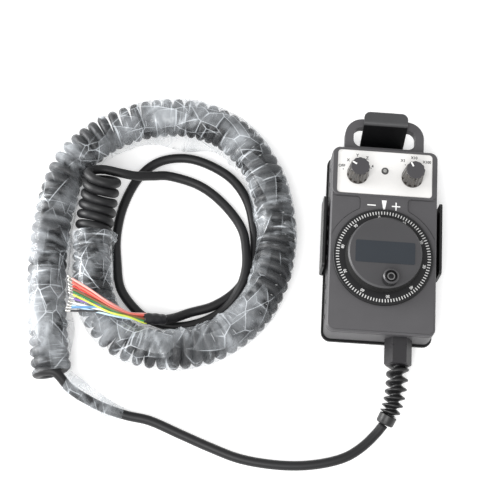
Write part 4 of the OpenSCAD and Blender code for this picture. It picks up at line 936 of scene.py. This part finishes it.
# Below spinner_top - 0.8 the spinner is painted near black: painted shade on its side and in the recess
# round the screw.
paint_node(
    tone_and_light_by_height("spinner_plastic", (0.05, 0.049, 0.052), (0.008, 0.008, 0.009), spinner_top - 0.8,
             0.35, 0.4, grain=2000, bump=0.1),
    "spinner_knob",
)
screw_finish = turned_finish("socket_screw", (0.05, 0.05, 0.052), 0.3, spin_x, spin_y, 1500)
screw_tree = screw_finish.node_tree
from_axis = screw_tree.nodes.new("ShaderNodeVectorMath")
from_axis.operation = "LENGTH"
screw_tree.links.new(round_axis(screw_tree, spin_x, spin_y, depth=0), from_axis.inputs[0])
# Inside socket_shade_r the head stays near black, a painted shade for the hex socket; outside it the head is
# tinted grey.
socket_shade_r = 2.2
rim = math_node(screw_tree, "GREATER_THAN", from_axis.outputs["Value"], socket_shade_r / 1000)
tint(screw_finish, rim, (0.3, 0.3, 0.3))
paint_node(screw_finish, "spinner_screw")

# ---------- Cable gland and strain relief ----------
# A black nylon gland clamps the cable in the lower wall, with a locknut inside and a cap nut outside.
# Its moulded spiral tail bends with the cable; the ridge gets lower towards the collar at its end.
paint_node(
    grained("gland_nylon", (0.014, 0.013, 0.015), 0.48, grain=1300, mottle=0.2, bump=0.15),
    "gland_body", "gland_nut", "gland_locknut",
)
relief_from, relief_bend, relief_to = (
    np.array(p) for p in ((16, -99.1, 14), (16, -124.84, 14), (10.6, -137, 9.6))
)
relief_core, relief_turns, relief_start, relief_pitch = 4.05, 6, 0.7, 6.9
steps_per_turn = 26
ridge_heights, ridge_half, ridge_blunt = (5.0, 3.8), 2.8, 1.25
collar_r, collar_l = 7.0, 8.0
relief_sides = 40
t = np.linspace(0, 1, relief_turns * steps_per_turn + 1)[:, None]
relief_line = relief_from * (1 - t) ** 2 + relief_bend * 2 * t * (1 - t) + relief_to * t**2
relief_head = (relief_to - relief_bend) / np.linalg.norm(relief_to - relief_bend)
collar_steps = (0.3, 0.7, 1.0, collar_l - 0.4, collar_l + 0.1, collar_l + 0.6)
collar_radii = (relief_core, collar_r - 0.5, collar_r, collar_r, collar_r - 0.3, collar_r - 0.9)
relief_line = np.vstack([relief_line, [relief_to + relief_head * d for d in collar_steps]])
relief_ahead = np.gradient(relief_line, axis=0)
relief_ahead /= np.linalg.norm(relief_ahead, axis=1)[:, None]
across = np.cross(relief_ahead, (0, 0, 1))
across /= np.linalg.norm(across, axis=1)[:, None]
above = np.cross(across, relief_ahead)
rings = []
for i, centre in enumerate(relief_line):
    part = min(i / (len(t) - 1), 1)
    for k in range(relief_sides):
        share = k / relief_sides
        if i < len(t):
            turned = relief_start + relief_turns * part + share
            off = abs(turned % 1 - 0.5) * relief_pitch
            height = ridge_heights[0] * (1 - part) + ridge_heights[1] * part
            lift = min(max(ridge_blunt * (1 - off / ridge_half), 0), 1)
            radius = relief_core + height * (1 - (1 - lift) ** 1.3 * (1 + 0.4 * lift))
        else:
            radius = collar_radii[i - len(t)]
        angle = 2 * math.pi * share
        rings.append(centre + radius * (math.cos(angle) * across[i] + math.sin(angle) * above[i]))
last_ring = (len(relief_line) - 1) * relief_sides
relief_faces = [
    (i + k, i + (k + 1) % relief_sides, i + relief_sides + (k + 1) % relief_sides, i + relief_sides + k)
    for i in range(0, last_ring, relief_sides) for k in range(relief_sides)
]
relief_faces += [tuple(range(relief_sides))[::-1], tuple(range(last_ring, last_ring + relief_sides))]
relief_mesh = bpy.data.meshes.new("strain_relief")
relief_mesh.from_pydata([tuple(p / 1000) for p in rings], [], relief_faces)
relief_mesh.polygons.foreach_set("use_smooth", [True] * len(relief_mesh.polygons))
relief_shell = bmesh.new()
relief_shell.from_mesh(relief_mesh)
bmesh.ops.recalc_face_normals(relief_shell, faces=relief_shell.faces)
relief_shell.to_mesh(relief_mesh)
relief_shell.free()
relief_mesh.set_sharp_from_angle(angle=math.radians(40))
relief = add_piece("strain_relief", relief_mesh)
relief.data.materials.append(
    grained("relief_rubber", (0.009, 0.009, 0.0095), 0.42, grain=1100, mottle=0.15, bump=0.1)
)
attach(relief, "pendant")
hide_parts("spiral_relief")

# ---------- Table and light ----------
# The pendant lies on a plain white lit table under two large soft boxes and an even white surround.
table_mesh = bpy.data.meshes.new("table")
table_mesh.from_pydata([(-3, -3, 0), (3, -3, 0), (3, 3, 0), (-3, 3, 0)], [], [(0, 1, 2, 3)])
table = add_piece("table", table_mesh)
table_mesh.materials.append(grained(
    "table_white", (0.9, 0.9, 0.9), 0.6, grain=300, mottle=0.01, bump=0.02,
    Emission_Color=(1, 1, 1, 1), Emission_Strength=0.3,
))
table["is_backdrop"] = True
surround = bpy.data.worlds.new("surround")
surround.use_nodes = True
surround.node_tree.nodes["Background"].inputs["Color"].default_value = (1, 1, 1, 1)
surround.node_tree.nodes["Background"].inputs["Strength"].default_value = 0.7
bpy.context.scene.world = surround


def softbox(name, place, target, size, energy):
    """A rectangular area light that faces target."""
    light = bpy.data.objects.new(name, bpy.data.lights.new(name, "AREA"))
    light.data.shape = "RECTANGLE"
    light.data.size, light.data.size_y = size
    light.data.energy = energy
    facing = (Vector(place) - Vector(target)).to_track_quat("Z", "Y")
    light.matrix_world = Matrix.Translation(place) @ facing.to_matrix().to_4x4()
    bpy.context.scene.collection.objects.link(light)


softbox("key", (-0.35, -0.75, 1.15), (-0.05, 0, 0), (0.8, 0.8), 14)
softbox("fill", (-1.3, 0.15, 0.3), (-0.05, 0, 0.02), (0.9, 0.5), 24)
bpy.context.scene.view_settings.view_transform = "Standard"

size = {"packed": packed_size, "dressed": [list(corner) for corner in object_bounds()]}
